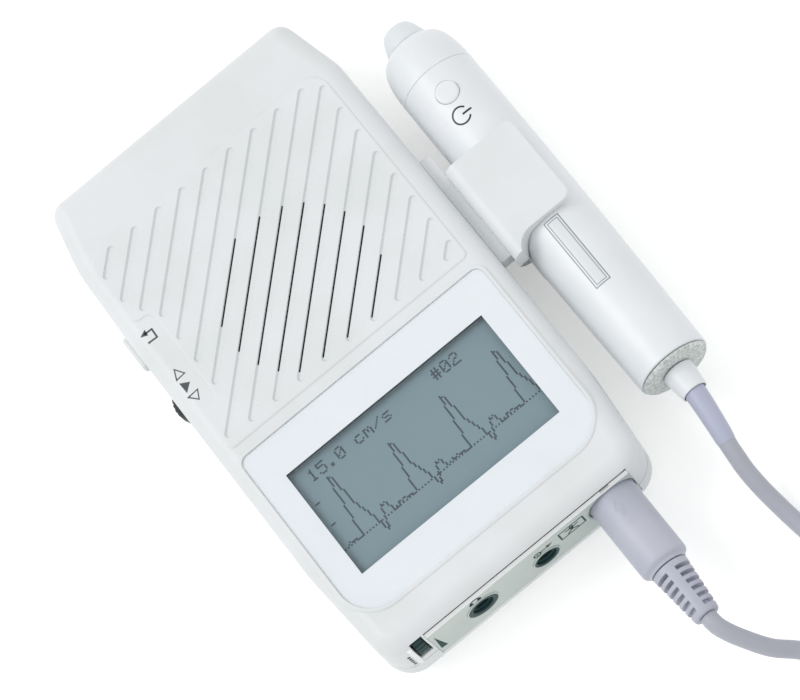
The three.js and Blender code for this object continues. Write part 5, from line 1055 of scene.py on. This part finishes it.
# Polyester film: pale silver-grey, smooth beside the eroded barrel
film_silver = moulded("polyester_film_silver", "#e2e6e9", "#dde2e5", 0.3, 0.6, 0.001)
piece("rating_plate", wrapped(plate, PROBE, barrel_radius), film_silver, "probe", "grey_abs", even=False)
ink_pale = moulded("pad_print_ink_pale", "#7f888d", "#8b9499", 0.4, 0.3, 0.004)
border = joined(box_line(0.12, 0.22), box_line(0.7, 0.16))
piece("plate_border", border, ink_pale, "probe", "black_nylon", even=False)

# Cable: a white collar screwed into the end cap and a lilac PVC sleeve that tapers on to the
# lead, then one unbroken length of soft 4 mm lead to the plug. It leaves the picture on both
# runs, and the rest is wound in a coil on the table.
COLLAR_BORE, COLLAR_BASE, COLLAR_TIP, COLLAR_START, COLLAR_END = 2.8, 3.7, 3.1, -52.9, -59.1
SLEEVE_BASE, SLEEVE_TIP, SLEEVE_STEP, SLEEVE_SIDES = 2.75, 2.2, 0.7, 32
CABLE_RADIUS, CABLE_STEP, CABLE_SIDES = 2.0, 1.4, 20
CORNER = np.array([37.5, -67.0, 0.0])
SLEEVE_LINE = CORNER + [
    [14.5, 18.2, 14], [14.5, 15, 14], [14.5, 11, 14], [14.4, 7, 13.95], [14, 3, 13.6], [13.5, -1, 12.9],
    [12.95, -4.6, 11.9],
]
FROM_PROBE = CORNER + [
    [13.1, -3.7, 12.2], [12.85, -5.2, 11.7], [12.6, -7.5, 10.7], [12.3, -11, 8.8], [12.4, -15.2, 6.5],
    [12.9, -20, 4.2], [13.6, -25.2, 2.6], [14.5, -30.3, 2.06], [16.7, -36.2, 2.05], [20.9, -41.2, 2.05],
    [27.7, -45.4, 2.05], [36.7, -49.2, 2.05],
]
FROM_PLUG = CORNER + [
    [-13.4, -33.5, 17], [-13.3, -35.9, 16.82], [-12.3, -38.4, 15.3], [-10.2, -41.7, 12.6], [-7.4, -45.2, 9.3],
    [-3.1, -48.5, 5.5], [0.5, -52.8, 2.85], [1.9, -58.5, 2.06], [0.4, -66, 2.05], [-2.1, -74, 2.05],
    [-3.9, -82, 2.05], [-3.9, -90, 2.3], [-2.3, -97, 3.5], [0.5, -102.2, 5.2],
]
COIL_MIDDLE = CORNER[:2] + (31.5, -85.0)
COIL_TURNS, COIL_RADIUS, COIL_PITCH, COIL_START = 8.5, 32.7, 4.6, radians(51)
COIL_LOW, COIL_LEAD, COIL_STEPS, COIL_CLIMB = 2.05, 4.0, 24, 0.5


def coil_line():
    """Spiral: the radius falls by one pitch a turn to the middle turn and grows again, one layer higher."""
    turn = np.arange(0, COIL_TURNS * COIL_STEPS + 1) / COIL_STEPS
    middle = COIL_TURNS / 2
    radius = COIL_RADIUS - COIL_PITCH * (middle - np.abs(turn - middle))
    share = np.clip((turn - middle + COIL_CLIMB / 2) / COIL_CLIMB, 0, 1)
    height = COIL_LOW + COIL_PITCH * eased_step(share)
    return np.column_stack([around(COIL_MIDDLE, radius, COIL_START - 2 * pi * turn), height])


def run_of(path):
    """The distance run along a path, at each of its points."""
    return np.concatenate([[0], np.cumsum(np.linalg.norm(np.diff(path, axis=0), axis=1))])


def smooth_path(points, step):
    """Centripetal Catmull-Rom curve through the points: knots are spaced by the square root of the chord,
    and each stretch is the usual pyramid of weighted means. It comes back at even steps of its length."""
    points = np.asarray(points, float)
    padded = np.vstack([2 * points[0] - points[1], points, 2 * points[-1] - points[-2]])
    knots = np.concatenate([[0], np.cumsum(np.sqrt(np.linalg.norm(np.diff(padded, axis=0), axis=1)))])
    p = [padded[i:len(padded) - 3 + i, None] for i in range(4)]
    k = [knots[i:len(knots) - 3 + i, None, None] for i in range(4)]
    t = k[1] + (k[2] - k[1]) * np.linspace(0, 1, 24, endpoint=False)[None, :, None]
    mean = lambda a, b, ta, tb: a * (tb - t) / (tb - ta) + b * (t - ta) / (tb - ta)
    low = [mean(p[i], p[i + 1], k[i], k[i + 1]) for i in range(3)]
    high = [mean(low[i], low[i + 1], k[i], k[i + 2]) for i in range(2)]
    curve = np.vstack([mean(high[0], high[1], k[1], k[2]).reshape(-1, 3), points[-1]])
    length = run_of(curve)
    even_steps = np.linspace(0, length[-1], int(round(length[-1] / step)) + 1)
    return np.column_stack([np.interp(even_steps, length, curve[:, i]) for i in range(3)])


def lead(name, path, radius, sides, *settings, **more):
    """A piece of round lead: rings round a path, the path plus radius times (cos, sin) along its level side
    and its rise. Its attribute 'straight' says where each point would be on the unbent lead, as (distance,
    cos, sin), in metres."""
    along = np.gradient(path, axis=0)
    along /= np.linalg.norm(along, axis=1, keepdims=True)
    side = np.cross(along, (0.0, 0.0, 1.0))
    side /= np.linalg.norm(side, axis=1, keepdims=True)
    rise = np.cross(side, along)
    angle = np.linspace(0, 2 * pi, sides, endpoint=False)
    radius = np.broadcast_to(radius, len(path))[:, None, None]
    turn = np.stack([np.cos(angle), np.sin(angle)], -1)
    rings = path[:, None] + radius * (turn[:, :1] * side[:, None] + turn[:, 1:] * rise[:, None])
    made = piece(name, stack(rings), *settings, **more)
    straight = np.empty((len(path), sides, 3))
    straight[..., 0] = run_of(path)[:, None]
    straight[..., 1:] = radius * turn
    attribute = made.data.attributes.new("straight", "FLOAT_VECTOR", "POINT")
    attribute.data.foreach_set("vector", (straight * MM).astype(np.float32).ravel())
    return made


def extruded_pvc(name, colour, worn, roughness):
    """Soft PVC as it leaves the extruder: satin, with faint draw lines along the lead, 0.5 mm apart."""
    finish = bpy.data.materials.new(name)
    tree = blank_tree(finish)
    straight = node(tree, "Attribute", attribute_name="straight").outputs["Vector"]
    lines = noise(tree, node(tree, "Mapping", {"Vector": straight, "Scale": (40, 2000, 2000)}), 1.0, 2.0)
    return principled(finish, tree, {
        "Base Color": two_tone(tree, noise(tree, straight, 60.0, 3.0), colour, worn),
        "Roughness": ranged(tree, lines, roughness - 0.05, roughness + 0.07), "IOR": 1.53,
        "Normal": bump(tree, lines, 0.25, 0.00004)})


collar_profile = np.vstack([
    [(COLLAR_BORE, COLLAR_START), (COLLAR_BASE - 0.15, COLLAR_START), (COLLAR_BASE, COLLAR_START - 0.2)],
    eased([(COLLAR_BASE - 0.03, -54.0), (COLLAR_TIP, COLLAR_END), (2.9, COLLAR_END)], 0.25),
    [(COLLAR_BORE, COLLAR_END)],
])
collar = turned(collar_profile, PROBE, ends="loop")
piece("collar", collar, probe_white_lightened, "probe", "white_abs", ["cable_collar"])
sleeve_path = smooth_path(SLEEVE_LINE, SLEEVE_STEP)
sleeve_radius = SLEEVE_BASE + (SLEEVE_TIP - SLEEVE_BASE) * np.linspace(0, 1, len(sleeve_path))
sleeve_radius[-3:] = SLEEVE_TIP - np.array([0.0, 0.03, 0.14])
lilac = extruded_pvc("pvc_lilac_moulded", "#b9bdd1", "#b1b5ca", 0.4)
lead("tapered_sleeve", sleeve_path, sleeve_radius, SLEEVE_SIDES, lilac, "probe", "lilac_pvc", ["cable_sleeve"])


def coil_lead(end, inner):
    """A point that carries the coil's end on in its own direction."""
    return end + COIL_LEAD * (end - inner) * (1, 1, 0) / np.linalg.norm((end - inner)[:2])


wound = coil_line()
cable_path = smooth_path(np.vstack([
    FROM_PROBE, coil_lead(wound[0], wound[1]), wound, coil_lead(wound[-1], wound[-2]), FROM_PLUG[::-1],
]), CABLE_STEP)
cable_path[:, 2] = np.maximum(cable_path[:, 2], CABLE_RADIUS + 0.02)
cable_grey = extruded_pvc("pvc_grey_extruded", "#b2b5bf", "#a8abb6", 0.36)
cable = lead(
    "cable", cable_path, CABLE_RADIUS, CABLE_SIDES, cable_grey, None, "grey_pvc",
    ["probe_cord", "cord_coil", "plug_cord"], even=False)
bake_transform(cable)

# Plug: a lilac PVC grip moulded over a steel shell and a pin insert, and a slotted boot of the
# same PVC that bends with the lead. Six rows of slots leave a rib above and a rib below.
PLUG_R, PLUG_FRONT, PLUG_BACK, BOOT_START, BOOT_END = 5.7, -66.4, -85.9, -87.2, -100.4
BOOT_BASE, BOOT_TIP, BOOT_CORE, BOOT_ROWS, BOOT_SLOT, BOOT_COLLAR, BOOT_RIB = 4.3, 3.1, 2.3, 6, 1.0, 1.0, 1.1
BOOT_REACH = 6.0
grip_profile = np.vstack([
    [(0.05, BOOT_START + 0.3)],
    eased([(4.0, BOOT_START + 0.3), (4.45, BOOT_START + 0.3), (4.55, -86.45), (4.75, -86.2)], 0.15),
    eased([(4.9, -86.1), (PLUG_R, PLUG_BACK + 0.35), (PLUG_R, -83.0)], 0.9, 7), [(PLUG_R, -75.0)],
    eased([(PLUG_R, -68.0), (PLUG_R, PLUG_FRONT), (5.0, PLUG_FRONT)], 0.35),
    [(4.4, PLUG_FRONT), (4.4, -69.7), (0.05, -69.7)],
])
grip_pvc = moulded("pvc_lilac_grip", "#bdc0cc", "#b4b7c5", 0.45, 0.4, 0.008)
grip = piece("plug_grip", turned(grip_profile, PLUG, "y", 96), grip_pvc, "unit", "lilac_pvc", ["plug_body"])
# An arrow on the grip, a fine line raised by the mould, shows the way in
ARROW = [
    (23.75, -73.4), (24.45, -73.4), (24.45, -71.6), (25.25, -71.6), (24.1, -69.5), (22.95, -71.6), (23.75, -71.6)]
ARROW_WIDTH, ARROW_RISE = 0.22, 0.07
arrow = wrapped(stroke(ARROW, ARROW_WIDTH, -LINE_SINK, ARROW_RISE, True), PLUG, lambda y: PLUG_R)
grip_arrow = piece("grip_arrow", arrow, grip_pvc, "unit", "lilac_pvc", even=False)

boot_profile = np.vstack([
    [(0.05, BOOT_END)],
    eased([(2.2, BOOT_END), (BOOT_TIP - 0.1, BOOT_END), (BOOT_TIP + 0.02, BOOT_END + 1.0)], 0.5),
    [(BOOT_TIP + 0.1, BOOT_END + 1.3)],
    eased([(4.2, BOOT_START - 1.6), (BOOT_BASE, BOOT_START - 0.9), (BOOT_BASE, BOOT_START)], 0.4),
    [(0.05, BOOT_START)],
])


def boot_arc(side, radius):
    """An arc round the boot on one side of it, from the rib below to the rib above."""
    reach = np.arccos(BOOT_RIB / radius) * np.linspace(-1, 1, 33)
    return np.column_stack([PLUG[0] + side * radius * np.cos(reach), PLUG[1] + radius * np.sin(reach)])


boot_pitch = (BOOT_START - BOOT_END - 2 * BOOT_COLLAR) / BOOT_ROWS
boot_slots = []
for number in range(1, BOOT_ROWS + 1):
    y = BOOT_START - BOOT_COLLAR - boot_pitch * number + (boot_pitch - BOOT_SLOT) / 2
    for side in (-1, 1):
        outline = np.vstack([boot_arc(side, BOOT_REACH), boot_arc(side, BOOT_CORE)[::-1]])
        boot_slots.append(prism(outline, y, y + BOOT_SLOT, "y"))
boot = piece(
    "slotted_boot", turned(boot_profile, PLUG, "y", 96), grip_pvc, "unit", "grey_pvc", ["plug_relief"],
    [("DIFFERENCE", joined(*boot_slots))], crease=30)
dress(steel_sheet("steel_shell_drawn_plated", "#c2c5c8", 0.25), "plug_shell")
dress(nylon_black, "plug_insert")
